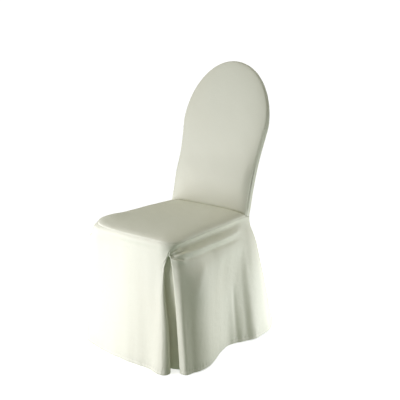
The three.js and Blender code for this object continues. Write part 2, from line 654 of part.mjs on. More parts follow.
function seatEdges() {
  const cornerOf = (side) => rimPoint(side * SEAM_AT).setZ(rimHeight(side * SEAM_AT));
  const front = frontGrid[0].map((point) => point.clone());
  front[0] = cornerOf(-1);
  front[front.length - 1] = cornerOf(1);
  const sideOf = (grid, side) => {
    const edge = grid[0].slice(0, sideSeatRows + 1).map((point) => point.clone());
    edge[0] = cornerOf(side);
    return edge;
  };
  return { front, rear: insideBackGrid[0], left: sideOf(leftGrid, -1), right: sideOf(rightGrid, 1) };
}

function seatSwell(point) {
  let sum = 0;
  for (const row of SEAT_SWELLS) {
    sum += row.rise * bump(Math.hypot(point.x - row.x, point.y - row.y), row.wide);
  }
  return sum;
}

// The seat is stretched between its four edges and raised to its crown.
function seatGrid() {
  const { front, rear, left, right } = seatEdges();
  const seams = [...front, ...rear, ...left, ...right];
  const rows = sideSeatRows;
  const columns = seatColumns;
  const grid = [];
  for (let r = 0; r <= rows; r += 1) {
    const v = r / rows;
    const line = [];
    for (let c = 0; c <= columns; c += 1) {
      const u = c / columns;
      const point = front[c].clone().multiplyScalar(1 - v).addScaledVector(rear[c], v);
      point.addScaledVector(left[r], 1 - u).addScaledVector(right[r], u);
      point.addScaledVector(front[0], -(1 - u) * (1 - v)).addScaledVector(front[columns], -u * (1 - v));
      point.addScaledVector(rear[0], -(1 - u) * v).addScaledVector(rear[columns], -u * v);
      if (r > 0 && r < rows && c > 0 && c < columns) {
        const toSide = Math.abs(2 * u - 1);
        const toFront = (1 - v) ** CROWN_FALLS.front;
        const crown = SEAT_CROWN * (1 - toSide ** CROWN_FALLS.side) * (1 - toFront);
        const edge = Math.max(toFront, v ** EDGE_HOLDS.rear, toSide ** EDGE_HOLDS.side);
        const lift = (front[c].z - SEAT_HEIGHT) * Math.exp((-v * SEAT_DEPTH) / CORNER_LIFT.wide);
        const toSeam = Math.min(...seams.map((seam) => Math.hypot(seam.x - point.x, seam.y - point.y)));
        point.z = mix(SEAT_HEIGHT + crown + lift, point.z, edge) + seatSwell(point) * (1 - edge);
        point.z += padding(toSeam, SEAT_PADDING);
      }
      line.push(point);
    }
    grid.push(line);
  }
  return grid;
}

// The strip runs up the left edge of the back, over its top and down the right edge.
function stripGrid() {
  const rows = [];
  for (let step = -BACK_ROWS; step <= BACK_ROWS; step += 1) {
    const up = backRowUp(BACK_ROWS - Math.abs(step));
    const side = Math.sign(step);
    const front = backLine(up).setX(side * backHalfWidth(up));
    const rear = rearRimPoint(side, up);
    const middle = front.clone().add(rear).multiplyScalar(0.5);
    const upwards = new THREE.Vector3(0, Math.sin(slopeAt(up)), Math.cos(slopeAt(up)));
    const outward = new THREE.Vector3((side * backHalfWidth(up)) / TOP_HALF, 0, 0);
    outward.addScaledVector(upwards, Math.max(0, up - (BACK_LENGTH - ROUND_TOP)) / ROUND_TOP);
    const bulge = Math.abs(step) === BACK_ROWS ? 0 : STRIP_BULGE;
    middle.addScaledVector(outward.normalize(), bulge);
    rows.push([front, middle, rear]);
  }
  return rows;
}

function outsideBackGrid() {
  const across = rearSkirtGrid[0].map((point) => point.x / rearFoot.x);
  const upper = [];
  for (let row = BACK_ROWS; row > 0; row -= 1) {
    upper.push(across.map((share) => outsideBackPoint(Math.min(1, Math.max(-1, share)), backRowUp(row))));
  }
  return [...upper, ...rearSkirtGrid];
}

// The strip's foot is sewn to the top of each side panel.
const strip = stripGrid();
[[leftGrid, leftRows, strip[0]], [rightGrid, rightRows, strip.at(-1)]].forEach(([grid, rows, foot]) => {
  const row = rows[0].whole;
  const start = row.length - foot.length;
  foot.forEach((point, index) => {
    row[start + index] = point.clone();
    grid[0][grid[0].length - foot.length + index] = point.clone();
  });
});
rearSkirtGrid[0][0] = strip.at(-1)[2].clone();
rearSkirtGrid[0][rearSkirtGrid[0].length - 1] = strip[0][2].clone();

const sheets = [
  new Sheet({
    name: "seat_panel",
    grid: seatGrid(),
    onSeam: (r, c, rows, columns) => r === 0 || r === rows || c === 0 || c === columns,
  }),
  new Sheet({ name: "inside_back_panel", grid: insideBackGrid, onSeam: () => true }),
  new Sheet({ name: "back_strip", grid: strip, flipped: true, onSeam: () => true }),
  new Sheet({
    name: "outside_back_panel",
    grid: outsideBackGrid(),
    flipped: true,
    onSeam: (r, c, rows, columns) => r <= BACK_ROWS || c === 0 || c === columns,
  }),
  new Sheet({
    name: "front_skirt_panel",
    grid: frontRows.map((row) => row.whole),
    flipped: true,
    onSeam: (r, c, rows, columns) => r === 0 && c >= RETURN_COLUMNS && c <= columns - RETURN_COLUMNS,
  }),
  new Sheet({
    name: "right_skirt_panel",
    grid: rightRows.map((row) => row.whole),
    flipped: true,
    onSeam: (r, c, rows, columns) => (r === 0 && c >= RETURN_COLUMNS) || c === columns,
  }),
  new Sheet({
    name: "left_skirt_panel",
    grid: leftRows.map((row) => row.whole),
    onSeam: (r, c, rows, columns) => (r === 0 && c >= RETURN_COLUMNS) || c === columns,
  }),
  new Sheet({ name: "right_pleat_insert", grid: insertGrid("last", rightRows), flipped: true }),
  new Sheet({ name: "left_pleat_insert", grid: insertGrid("first", leftRows) }),
];

const IVORY = 0xe2e0cf;

const cover = new THREE.Group();
for (const sheet of sheets) {
  const material = new THREE.MeshStandardMaterial({ color: IVORY, roughness: 0.85, metalness: 0 });
  const mesh = new THREE.Mesh(solidOf(sheet, sheets), material);
  mesh.name = sheet.name;
  cover.add(mesh);
}

// Stand the cover on the floor with its box centred over the origin.
const box = new THREE.Box3().setFromObject(cover);
cover.position.set(-(box.min.x + box.max.x) / 2, -(box.min.y + box.max.y) / 2, -box.min.z);

export default cover;
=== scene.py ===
import math

import bpy
import numpy as np
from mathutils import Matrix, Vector


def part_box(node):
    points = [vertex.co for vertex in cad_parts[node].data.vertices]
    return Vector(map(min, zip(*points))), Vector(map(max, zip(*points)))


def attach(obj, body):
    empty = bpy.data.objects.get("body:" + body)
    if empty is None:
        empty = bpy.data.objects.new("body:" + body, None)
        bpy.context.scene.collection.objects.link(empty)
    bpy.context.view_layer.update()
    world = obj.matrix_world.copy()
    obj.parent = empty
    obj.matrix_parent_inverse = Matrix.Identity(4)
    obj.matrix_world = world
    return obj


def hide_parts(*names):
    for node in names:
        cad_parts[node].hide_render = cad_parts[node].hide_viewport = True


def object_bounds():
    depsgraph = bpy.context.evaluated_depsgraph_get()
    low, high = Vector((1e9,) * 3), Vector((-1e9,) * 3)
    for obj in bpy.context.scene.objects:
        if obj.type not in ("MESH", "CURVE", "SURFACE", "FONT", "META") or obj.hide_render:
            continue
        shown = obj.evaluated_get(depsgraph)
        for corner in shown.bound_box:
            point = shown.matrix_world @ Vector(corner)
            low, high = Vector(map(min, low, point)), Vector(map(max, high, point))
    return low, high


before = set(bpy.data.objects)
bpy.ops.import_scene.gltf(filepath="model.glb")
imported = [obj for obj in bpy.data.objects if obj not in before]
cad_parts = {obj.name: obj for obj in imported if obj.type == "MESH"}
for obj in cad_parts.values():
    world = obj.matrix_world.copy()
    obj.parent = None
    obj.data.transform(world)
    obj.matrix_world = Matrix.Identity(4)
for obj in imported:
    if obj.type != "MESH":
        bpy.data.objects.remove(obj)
cad_low, cad_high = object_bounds()

# All sizes are in millimetres, laid out with y = 0 at the foot of the back and z = 0 on the floor.
MM = 0.001
SEAT_PAST_FOOT = 0.2  # the seat's solid ends this far behind the foot of the back
seat_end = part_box("seat_panel")[1].y
back_low, back_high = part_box("inside_back_panel")
FOOT_OF_BACK = np.array([(back_low.x + back_high.x) / 2, seat_end - SEAT_PAST_FOOT * MM, cad_low.z])


# ---- camera ----
CAMERA_AIM = (119.0, -194.0, 534.6)
CAMERA_AZIMUTH = 38.26
CAMERA_HEIGHT_ANGLE = 14.02
CAMERA_DISTANCE = 2027.0
CAMERA_LENS = 54.0


def direction_from(azimuth, elevation):
    """The way from the object to a viewpoint. azimuth: 0 straight in front of it, 90 on its right."""
    a, e = math.radians(azimuth), math.radians(elevation)
    return Vector((math.sin(a) * math.cos(e), -math.cos(a) * math.cos(e), math.sin(e)))


def put_camera():
    data = bpy.data.cameras.new("camera")
    data.lens = CAMERA_LENS
    data.sensor_width = 36.0
    camera = bpy.data.objects.new("camera", data)
    bpy.context.scene.collection.objects.link(camera)
    away = direction_from(CAMERA_AZIMUTH, CAMERA_HEIGHT_ANGLE)
    aim = Vector(FOOT_OF_BACK + np.array(CAMERA_AIM) * MM)
    camera.location = aim + away * (CAMERA_DISTANCE * MM)
    camera.rotation_euler = away.to_track_quat("Z", "Y").to_euler()
    bpy.context.scene.camera = camera


put_camera()


# ---- small helpers ----
def mix(a, b, share):
    return a + (b - a) * share


def smooth(share):
    share = np.clip(share, 0.0, 1.0)
    return share * share * (3.0 - 2.0 * share)


def bump(distance, spread):
    return np.exp(-0.5 * (distance / spread) ** 2)


def through(places, values, at):
    """Value at a place, on a smooth curve through a table's rows."""
    places, values = np.asarray(places, float), np.asarray(values, float)
    slopes = np.gradient(values, places)
    row = np.clip(np.searchsorted(places, at) - 1, 0, len(places) - 2)
    span = places[row + 1] - places[row]
    t = (at - places[row]) / span
    start, end = values[row], values[row + 1]
    leaving, arriving = slopes[row] * span, slopes[row + 1] * span
    a = 2 * start - 2 * end + leaving + arriving
    b = -3 * start + 3 * end - 2 * leaving - arriving
    return ((a * t + b) * t + leaving) * t + start


def table(columns, *rows):
    """Rows of values, each value under its column's name."""
    return [dict(zip(columns.split(), row)) for row in rows]


def column(rows, name):
    return [row.get(name, 0.0) for row in rows]


UPWARDS = np.array([0.0, 0.0, 1.0])


def unit(vectors):
    length = np.linalg.norm(vectors, axis=-1, keepdims=True)
    return vectors / np.maximum(length, 1e-9)


def stack(*parts):
    return np.stack(np.broadcast_arrays(*parts), axis=-1)


def lengths_along(points):
    """Distance of each point of a line from its first one. points: (..., n, dimensions)."""
    steps = np.linalg.norm(np.diff(points, axis=-2), axis=-1)
    return np.concatenate([np.zeros(steps.shape[:-1] + (1,)), np.cumsum(steps, axis=-1)], axis=-1)


def along_values(places, values, at):
    """Values (n, k) at places along a line, read at any other places."""
    return np.stack([np.interp(at, places, values[:, k]) for k in range(values.shape[1])], axis=-1)


def resampled(line, shares):
    """A line's points at given shares of its length."""
    lengths = lengths_along(line)
    return along_values(lengths, line, np.asarray(shares) * lengths[-1])


def graded(length, fine, coarse, reach):
    """Places from 0 to length, close together near both ends and wider apart between."""
    places = [0.0]
    while places[-1] < length:
        near = min(places[-1], length - places[-1])
        places.append(places[-1] + mix(fine, coarse, float(smooth(near / reach))))
    places = np.array(places)
    return places * (length / places[-1])


# Uneven shapes are sums of waves. How many, and their lengths, in shares of the one that is asked for.
RIPPLE = {"waves": 4, "shortest": 0.6, "longest": 1.7}
MOTTLE = {"waves": 14, "shortest": 0.6, "longest": 1.8}


def ripple(at, period, seed):
    """Uneven wave along a line, about -1 to 1, the same for the same seed."""
    dice = np.random.default_rng(seed)
    total = np.zeros(np.shape(at))
    for _ in range(RIPPLE["waves"]):
        length = period * dice.uniform(RIPPLE["shortest"], RIPPLE["longest"])
        total = total + np.sin(2 * np.pi * at / length + dice.uniform(0, 2 * np.pi))
    return total / math.sqrt(2.0 * RIPPLE["waves"])


def mottle(a, b, period, seed):
    """Uneven swell over a surface, about -1 to 1, the same for the same seed."""
    dice = np.random.default_rng(seed)
    total = np.zeros(np.shape(a))
    for _ in range(MOTTLE["waves"]):
        turn = dice.uniform(0, np.pi)
        length = period * dice.uniform(MOTTLE["shortest"], MOTTLE["longest"])
        run = (a * math.cos(turn) + b * math.sin(turn)) / length
        total = total + np.sin(2 * np.pi * run + dice.uniform(0, 2 * np.pi))
    return total / math.sqrt(2.0 * MOTTLE["waves"])


# ---- seat and rim ----
SEAT_HEIGHT = 446.0
SEAT_DEPTH = 411.0
SEAT_FRONT_HALF = 187.0
SEAT_REAR_HALF = 177.0
FRONT_BOW = 11.0
CORNER_REACH = 56.0
CORNER_FULLNESS = 0.55
SEAT_CROWN = 13.0
CROWN_FALLS = {"side": 6, "front": 9}
CORNER_DROOP = {"deep": 5.0, "wide": 26.0}  # how far the right pleat pulls the seam down at its corner
CORNER_LIFT = {"high": 8.0, "wide": 50.0}  # how far the seam stands up at the left corner
EDGE_HOLDS = {"rear": 14, "side": 20}  # powers: the higher, the nearer the edge the seat comes down to it
TACK = 40.0  # how far down the pleats are closed
# Places along the rim, from the front middle: the pleats' seams and the posts of the back.
SEAM_AT = 198.0
POST_AT = 581.0

# ---- shape of the back ----
# Its slopes are in degrees, from foot to top. up: height along it. half: half its width.
# slimmer: how much nearer the middle the strip's rear edge lies than its front edge, where it is widest.
BACK_LENGTH = 562.0
ROUND_TOP = 231.0
STRAIGHT = BACK_LENGTH - ROUND_TOP
TOP_HALF = 190.6
BACK_CROWN = 13.0
BACK_CROWN_FALLS = 5
FOOT_CROWN_FALLS = 4
FOOT_BLEND = 150.0
BACK_HANG = 10.0
BACK_SLOPES = [14.6, 17.4, 18.2, 16.0, 13.1]
BACK_WIDTHS = table(
    "up half",
    (0, SEAT_REAR_HALF),
    (110, 174.5),
    (222, 178),
    (STRAIGHT, TOP_HALF),
)
STRIP_WIDTHS = table(
    "up width slimmer",
    (0, 27, 2),
    (70, 27.5, 2.4),
    (140, 27.5, 2.8),
    (210, 27.2, 3.0),
    (280, 26, 3.2),
    (350, 22, 3.5),
    (420, 16, 3.5),
    (490, 13, 3.5),
    (BACK_LENGTH, 13, 3.5),
)
REAR_SEAM_AT = POST_AT + STRIP_WIDTHS[0]["width"]

# The back's slope and place at many heights, measured up along it.
PAST_ENDS = {"foot": 60.0, "top": 30.0}
UPS = np.linspace(-PAST_ENDS["foot"], BACK_LENGTH + PAST_ENDS["top"], 500)
SLOPE_UPS = np.linspace(0, BACK_LENGTH, len(BACK_SLOPES))
SLOPES = np.radians(through(SLOPE_UPS, BACK_SLOPES, np.clip(UPS, 0, BACK_LENGTH)))
STEP = UPS[1] - UPS[0]
PROFILE_Y = np.cumsum(np.sin(SLOPES) * STEP)
PROFILE_Z = np.cumsum(np.cos(SLOPES) * STEP)
PROFILE_Y -= np.interp(0.0, UPS, PROFILE_Y)
PROFILE_Z += SEAT_HEIGHT - np.interp(0.0, UPS, PROFILE_Z)


def back_line(up):
    """Point on the sloping middle line of the inside back's seam."""
    return stack(np.zeros(np.shape(up)), np.interp(up, UPS, PROFILE_Y), np.interp(up, UPS, PROFILE_Z))


def forwards(up):
    """The way straight out of the front of the back."""
    slope = np.interp(up, UPS, SLOPES)
    return stack(np.zeros(np.shape(up)), -np.cos(slope), np.sin(slope))


def back_half_width(up):
    low = through(column(BACK_WIDTHS, "up"), column(BACK_WIDTHS, "half"), np.clip(up, 0, STRAIGHT))
    rise = np.clip((np.asarray(up) - STRAIGHT) / ROUND_TOP, 0, 1)
    return np.where(up >= STRAIGHT, TOP_HALF * np.sqrt(1 - rise**2), low)


def towards_edge(x, up):
    """0 on the back's middle line, 1 at its edge."""
    rise = np.maximum(0, up - STRAIGHT) / ROUND_TOP
    width = np.where(up < STRAIGHT, back_half_width(np.minimum(up, STRAIGHT)), TOP_HALF)
    return np.minimum(1.0, np.hypot(x / width, rise))


def curve_points(ends, steps):
    """Points along a Bezier curve of any order."""
    t = np.linspace(0, 1, steps)[:, None]
    points = [np.array(p, float) for p in ends]
    order = len(points) - 1
    return sum(math.comb(order, k) * (1 - t) ** (order - k) * t**k * p for k, p in enumerate(points))


RIM_POINTS = {"front": 60, "corner": 90, "side": 80}


def bent(start, middle, end, t):
    """Place on a curve from start to end that is pulled towards middle. t: 0 to 1 along it."""
    return (1 - t) ** 2 * start + 2 * t * (1 - t) * middle + t**2 * end


def make_rim():
    """The right half of the seat's outline, from its front middle, and its length at each point."""
    start = SEAT_FRONT_HALF - CORNER_REACH
    front = -(SEAT_DEPTH + FRONT_BOW)
    start_y = front + FRONT_BOW * (start / SEAT_FRONT_HALF) ** 2
    side = unit(np.array([SEAT_REAR_HALF - SEAT_FRONT_HALF, SEAT_DEPTH]))
    corner = np.array([SEAT_FRONT_HALF, start_y + 2 * (start_y - front) * CORNER_REACH / start])
    begin, end = np.array([start, start_y]), corner + side * CORNER_REACH
    turn_in, turn_out = mix(begin, corner, CORNER_FULLNESS), mix(end, corner, CORNER_FULLNESS)
    front_edge = curve_points([(0, front), (start / 2, front), begin], RIM_POINTS["front"])
    round_corner = curve_points([begin, turn_in, turn_out, end], RIM_POINTS["corner"])
    side_edge = curve_points([end, (SEAT_REAR_HALF, 0)], RIM_POINTS["side"])
    line = np.concatenate([front_edge, round_corner[1:], side_edge[1:]])
    lengths = lengths_along(line)
    return line, lengths * (POST_AT / lengths[-1])


RIM_LINE, RIM_LENGTHS = make_rim()
STRIP_FOOT = STRIP_WIDTHS[0]
REAR_FOOT = back_line(0.0) - forwards(0.0) * STRIP_FOOT["width"]
REAR_FOOT[0] = SEAT_REAR_HALF * (1 - STRIP_FOOT["slimmer"] / TOP_HALF)


def rim_point(at):
    """Plan point of the seat's rim. at: 0 at its front middle, and positive on its right half."""
    side, far = np.sign(at) + (np.asarray(at) == 0), np.abs(at)
    x = np.interp(far, RIM_LENGTHS, RIM_LINE[:, 0])
    y = np.interp(far, RIM_LENGTHS, RIM_LINE[:, 1])
    on_strip = np.clip((far - POST_AT) / STRIP_FOOT["width"], 0, 1)
    x = np.where(far > POST_AT, mix(SEAT_REAR_HALF, REAR_FOOT[0], on_strip), x)
    y = np.where(far > POST_AT, REAR_FOOT[1] * on_strip, y)
    across = 1 - np.maximum(0, far - REAR_SEAM_AT) / REAR_FOOT[0]
    x = np.where(far > REAR_SEAM_AT, REAR_FOOT[0] * across, x)
    y = np.where(far > REAR_SEAM_AT, REAR_FOOT[1] + BACK_HANG * (1 - across**2), y)
    return stack(side * x, y, 0.0)


RIM_STEP = 3.0
JUST_PAST = 0.01


def rim_outward(at):
    """The level way out of the rim, which turns sharply at the rear seams."""
    rear = np.abs(at) > REAR_SEAM_AT
    ahead, behind = at + RIM_STEP, at - RIM_STEP
    ahead = np.where(rear, ahead, np.minimum(ahead, REAR_SEAM_AT))
    behind = np.maximum(behind, np.where(rear, REAR_SEAM_AT + JUST_PAST, -REAR_SEAM_AT))
    along = unit(rim_point(ahead) - rim_point(behind))
    return stack(along[..., 1], -along[..., 0], 0.0)


def rim_height(at):
    on_strip = np.clip((np.abs(at) - POST_AT) / STRIP_FOOT["width"], 0, 1)
    droop = CORNER_DROOP["deep"] * bump(at - (SEAM_AT - TACK / 2), CORNER_DROOP["wide"])
    droop = droop - CORNER_LIFT["high"] * bump(at + SEAM_AT, CORNER_LIFT["wide"])
    return SEAT_HEIGHT - droop + (REAR_FOOT[2] - SEAT_HEIGHT) * on_strip


# ---- skirt ----
# Each row is a line down the cloth. at: its place along the seat's rim. lean: how far it swings
# forward on its way down to the tack, if it does. hem_x, hem_y: where it hangs at the hem, seen from
# above. curve: under 1 leaves the seat early, over 1 leaves it late. LEFT_LINES are given mirrored.
FRONT_LINES = table(
    "name at lean hem_x hem_y curve",
    ("left turn", -194, -3, -239, -397, 0.42),
    ("left corner", -181, -2, -234, -411, 0.42),
    ("left edge", -163, 0, -218, -424, 0.45),
    ("left side", -138, 0, -187, -433, 0.65),
    ("left swell", -107, 0, -141, -438, 0.85),
    ("left hollow", -72, 0, -90, -441, 1.0),
    ("left middle", -36, 0, -42, -443, 1.0),
    ("middle", 0, 0, 1, -442, 1.0),
    ("right middle", 36, 0, 38, -438, 1.0),
    ("right hollow", 72, 0, 72, -434, 1.0),
    ("right swell", 107, 0, 99, -434, 1.0),
    ("right side", 138, 5, 123, -439, 1.0),
    ("right edge", 163, 13, 140, -441, 0.9),
    ("right corner", 181, 25, 153, -439, 0.85),
    ("right turn", 194, 35, 159, -435, 0.8),
)

RIGHT_LINES = table(
    "name at lean hem_x hem_y curve",
    ("turn", 202, 34, 198, -391, 0.6),
    ("roll", 211, 29, 210, -388, 0.52),
    ("lobe front", 226, 21, 221, -379, 0.5),
    ("lobe", 248, 12, 231, -360, 0.46),
    ("lobe back", 276, 6, 238, -332, 0.45),
    ("front swell", 308, 2, 240, -302, 0.55),
    ("front quarter", 342, 0, 234, -268, 0.78),
    ("middle", 376, 0, 225, -235, 1.0),
    ("hollow front", 410, 0, 215, -201, 1.05),
    ("hollow", 442, 0, 206, -167, 1.1),
    ("hollow back", 472, 0, 207, -135, 1.05),
    ("wing front", 500, 0, 221, -105, 1.2),
    ("wing", 527, 0, 241, -75, 1.15),
    ("wing back", 554, 0, 258, -42, 0.95),
    ("post", 581, 0, 264, -6, 0.75),
    ("strip", 594.5, 0, 263, 32, 0.68),
    ("rear seam", 608, 0, 254, 68, 0.65),
)

LEFT_LINES = table(
    "name at hem_x hem_y curve",
    ("turn", 202, 244, -368, 0.42),
    ("roll", 211, 247, -358, 0.45),
    ("lobe front", 226, 250, -344, 0.5),
    ("lobe", 248, 251, -324, 0.6),
    ("lobe back", 276, 249, -299, 0.75),
    ("front swell", 308, 242, -273, 0.9),
    ("front quarter", 342, 234, -243, 1.0),
    ("middle", 376, 224, -214, 1.0),
    ("hollow front", 410, 215, -184, 1.05),
    ("hollow", 442, 212, -154, 1.1),
    ("hollow back", 472, 218, -125, 1.05),
    ("wing front", 500, 230, -97, 1.0),
    ("wing", 527, 245, -68, 1.0),
    ("wing back", 554, 258, -38, 1.0),
    ("post", 581, 266, -4, 1.0),
    ("strip", 594.5, 269, 35, 1.0),
    ("rear seam", 608, 262, 75, 1.0),
)

REAR_LINES = table(
    "name at hem_x hem_y curve",
    ("right seam", 608, 254, 68, 0.65),
    ("right corner", 619, 241, 99, 0.7),
    ("right wing", 634, 223, 126, 0.9),
    ("right side", 654, 192, 140, 0.95),
    ("right quarter", 680, 155, 142, 1.05),
    ("right hollow", 708, 113, 133, 1.1),
    ("right middle", 738, 68, 130, 1.1),
    ("middle", 772, 18, 137, 1.0),
    ("left middle", 806, -32, 146, 1.0),
    ("left swell", 838, -78, 148, 1.0),
    ("left hollow", 868, -121, 141, 1.05),
    ("left quarter", 896, -162, 137, 1.05),
    ("left side", 920, -200, 137, 1.0),
    ("left wing", 936, -228, 127, 1.0),
    ("left corner", 947, -250, 105, 1.0),
    ("left seam", 958.2, -262, 75, 1.0),
)

# Soft swells and hollows. at, below: the middle of each. wide, tall: its spread.
SWELLS = table(
    "panel name at wide below tall out",
    ("front", "seat edge", 20, 140, 12, 9, 3),
    ("front", "left pad corner", -185, 45, 34, 25, 14),
    ("front", "left billow", -185, 50, 125, 60, 11),
    ("front", "seat frame", 0, 120, 31, 8, -3),
    ("right", "seat edge", 400, 130, 5, 4, 1.5),
    ("right", "tuck", 290, 140, 22, 11, -14),
    ("right", "under the drag fold", 330, 120, 80, 16, -7),
    ("right", "billow", 300, 54, 160, 58, 8),
    ("right", "upper billow", 468, 88, 86, 34, 10),
    ("left", "seat edge", 400, 150, 11, 11, 8),
    ("left", "pad corner", 205, 50, 34, 25, 12),
    ("left", "tuck", 450, 120, 32, 11, -3),
    ("left", "billow", 210, 55, 125, 60, 11),
)

# Where a panel's cloth is drawn sideways, along the seat's rim.
SLIDES = table(
    "panel name at wide below tall along",
    ("front", "right pleat edge", 196, 28, 140, 80, -12),
)

SEAT_SWELLS = table(
    "name x y wide rise",
    ("left front corner", -165, -360, 42, 9),
    ("left side", -165, -190, 75, 3),
    ("where the sitter's weight goes", 10, -190, 95, -3),
)

# Folds and creases: curved ridges, or troughs where out is negative. They run from (at, below) to
# (to_at, to_below), bent sideways by sag, and their spread goes from wide to wide_end. crisp, under 1,
# makes a fold narrower on its lower side.
FOLDS = table(
    "panel name at below to_at to_below sag wide wide_end out fade_in fade_out crisp",
    ("right", "edge ridge", 207, 56, 211, 452, 0, 4, 10, 4.5, 0.7, 0.01),
    ("right", "edge trough", 228, 60, 242, 452, 0, 9, 12, -3, 0.22, 0.01),
    ("right", "shoulder", 290, 90, 300, 452, 0, 32, 38, 3, 0.3, 0.01),
    ("right", "belly edge", 325, 90, 250, 215, 18, 12, 14, 3.5, 0.3, 0.4),
    ("right", "tuck", 212, 25, 560, 16, 2, 8, 8, -6.2, 0.06, 0.15),
    ("right", "drag ridge", 206, 40, 560, 41, 9, 4, 7, 4.2, 0.06, 0.2, 0.75),
    ("right", "drag shadow", 222, 57, 548, 66, 8, 6, 7, -6.6, 0.12, 0.25),
    ("right", "upper pull", 203, 38, 256, 12, -8, 2.2, 3.5, -4, 0.14, 0.4),
    ("right", "second pull", 203, 40, 256, 33, 0, 2, 3.4, -4.6, 0.06, 0.35),
    ("right", "third pull", 203, 43, 252, 55, -1, 1.8, 2.6, -4.2, 0.06, 0.4),
    ("right", "lower pull", 203, 46, 238, 62, 0, 1.8, 2.6, -4, 0.08, 0.4),
    ("right", "first crest", 203, 38, 250, 24, -3, 1.8, 3.2, 1.2, 0.16, 0.4),
    ("right", "second crest", 203, 44, 246, 49, 0, 1.6, 2.4, 2.2, 0.08, 0.4),
    ("right", "third crest", 204, 51, 240, 72, 0, 1.8, 3, 1.6, 0.1, 0.4),
    ("front", "pull to the tack", 192, 42, 152, 66, -2, 3.0, 6.0, 1.6, 0.15, 0.5),
    ("right", "first wing fold", 490, 200, 500, 452, 0, 5, 6, -2.4, 0.35, 0.01),
    ("right", "second wing fold", 528, 150, 532, 452, 0, 9, 8, -3.4, 1.0, 0.01),
    ("right", "wing crest", 548, 90, 554, 452, 0, 10, 11, 2.5, 0.3, 0.01),
    ("inside back", "small of the back", -190, 122, 190, 122, 0, 42, 42, 12, 0.12, 0.12),
)

# A pleat's edges roll back. The roll's radius grows from the tack to the hem, and the cloth returns
# behind the panel, as far as RETURN says.
ROLL_AT_TACK = 1.7
ROLL_AT_HEM = {"right": 20.0, "left": 10.0, "side": 9.0}
ROLL_GROWS = 1.15
ROLL_TURN = 155.0
RETURN = {"tack": 12.0, "hem": 34.0, "gap": 1.0}
# At its top, rolled cloth is let down under the seat. That ends some way down.
BELOW_SEAT = {"deep": 3.0, "over": 9.0, "first": 0.6, "later": 2.0}
INSERT_TOP = 50.0
INSERT_COLUMNS = 30
INSERT_CLEARANCE = 2.3
INSERT_SET_BACK = {"top": 8.0, "hem": 3.0}
# Above the tack the two edges of a pleat are drawn together, each by this much, and keep to the rim.
CLOSED = {"by": 2.6, "reach": 12.0}
TACK_ENDS = {"past": 8.0, "over": 10.0}
TACK_REACH = 20.0
LEFT_TACK_HOLDS = 0.65  # the left pleat's edges keep to the rim less than the right one's
# How softly a panel leaves the rim below the tack, and how far under the seat that and the swells set in.
LEAVES_SOFTLY = 0.03
LEAVES_OVER = 30.0
SWELLS_OVER = 10.0


def swells(rows, amount, panel, at, below):
    """Sum of the soft swells that a table gives to a panel. amount: the column that says how high."""
    total = np.zeros(np.broadcast(at, below).shape)
    for row in rows:
        if row["panel"] == panel:
            across = bump(at - row["at"], row["wide"])
            total += row[amount] * across * bump(below - row["below"], row["tall"])
    return total


def skirt(panel, lines, at, below):
    """Middle of a skirt panel's cloth, for grids of places along the rim and depths below it."""
    line_at = column(lines, "at")
    lean, hem_x, hem_y, curve = (
        through(line_at, column(lines, name), at) for name in ("lean", "hem_x", "hem_y", "curve")
    )
    to_seam = SEAM_AT - np.abs(at)
    above = smooth((TACK + TACK_ENDS["past"] - below) / TACK_ENDS["over"])
    closing = CLOSED["by"] * np.sign(to_seam) * np.exp(-np.abs(to_seam) / CLOSED["reach"]) * above
    holds = np.where((at > 0) & (panel != "left"), 1.0, LEFT_TACK_HOLDS)
    tacked = holds * np.exp(-((to_seam / TACK_REACH) ** 2)) * above
    turned = at - lean * (1 - np.clip(1 - below / TACK, 0, 1) ** 2) + np.sign(at) * closing
    turned = turned + swells(SLIDES, "along", panel, at, below) * smooth((below - TACK) / TACK)
    point = rim_point(turned)
    hem = rim_point(at - lean)
    move = stack(hem_x, hem_y, 0.0) - hem
    past = (below - TACK) / (SEAT_HEIGHT - TACK)
    leave = 0.5 * (past + np.sqrt(past**2 + LEAVES_SOFTLY**2)) * smooth(below / LEAVES_OVER)
    leave = np.minimum(leave, 1.0) ** curve * (1 - tacked)
    point = point + move * leave[..., None]
    swell = swells(SWELLS, "out", panel, at, below) * smooth(below / SWELLS_OVER)
    point = point + rim_outward(turned) * (swell * (1 - tacked))[..., None]
    rise = np.sum(move[..., :2] ** 2, axis=-1) / (2 * SEAT_HEIGHT)
    point[..., 2] = mix(rim_height(at), rise, below / SEAT_HEIGHT)
    return point


def level(vectors):
    """The level part of directions, at unit length."""
    return unit(vectors * [1, 1, 0])


def inward_of(ahead, from_points):
    """The level way at right angles to a direction, on the side of the seat's middle."""
    to_middle = np.array([0.0, -SEAT_DEPTH / 2, 0.0]) - from_points
    inward = stack(-ahead[:, 1], ahead[:, 0], 0.0)
    return inward * np.sign(np.sum(inward * to_middle, axis=1, keepdims=True))


ROLL_COLUMNS = 14
RETURN_COLUMNS = 7


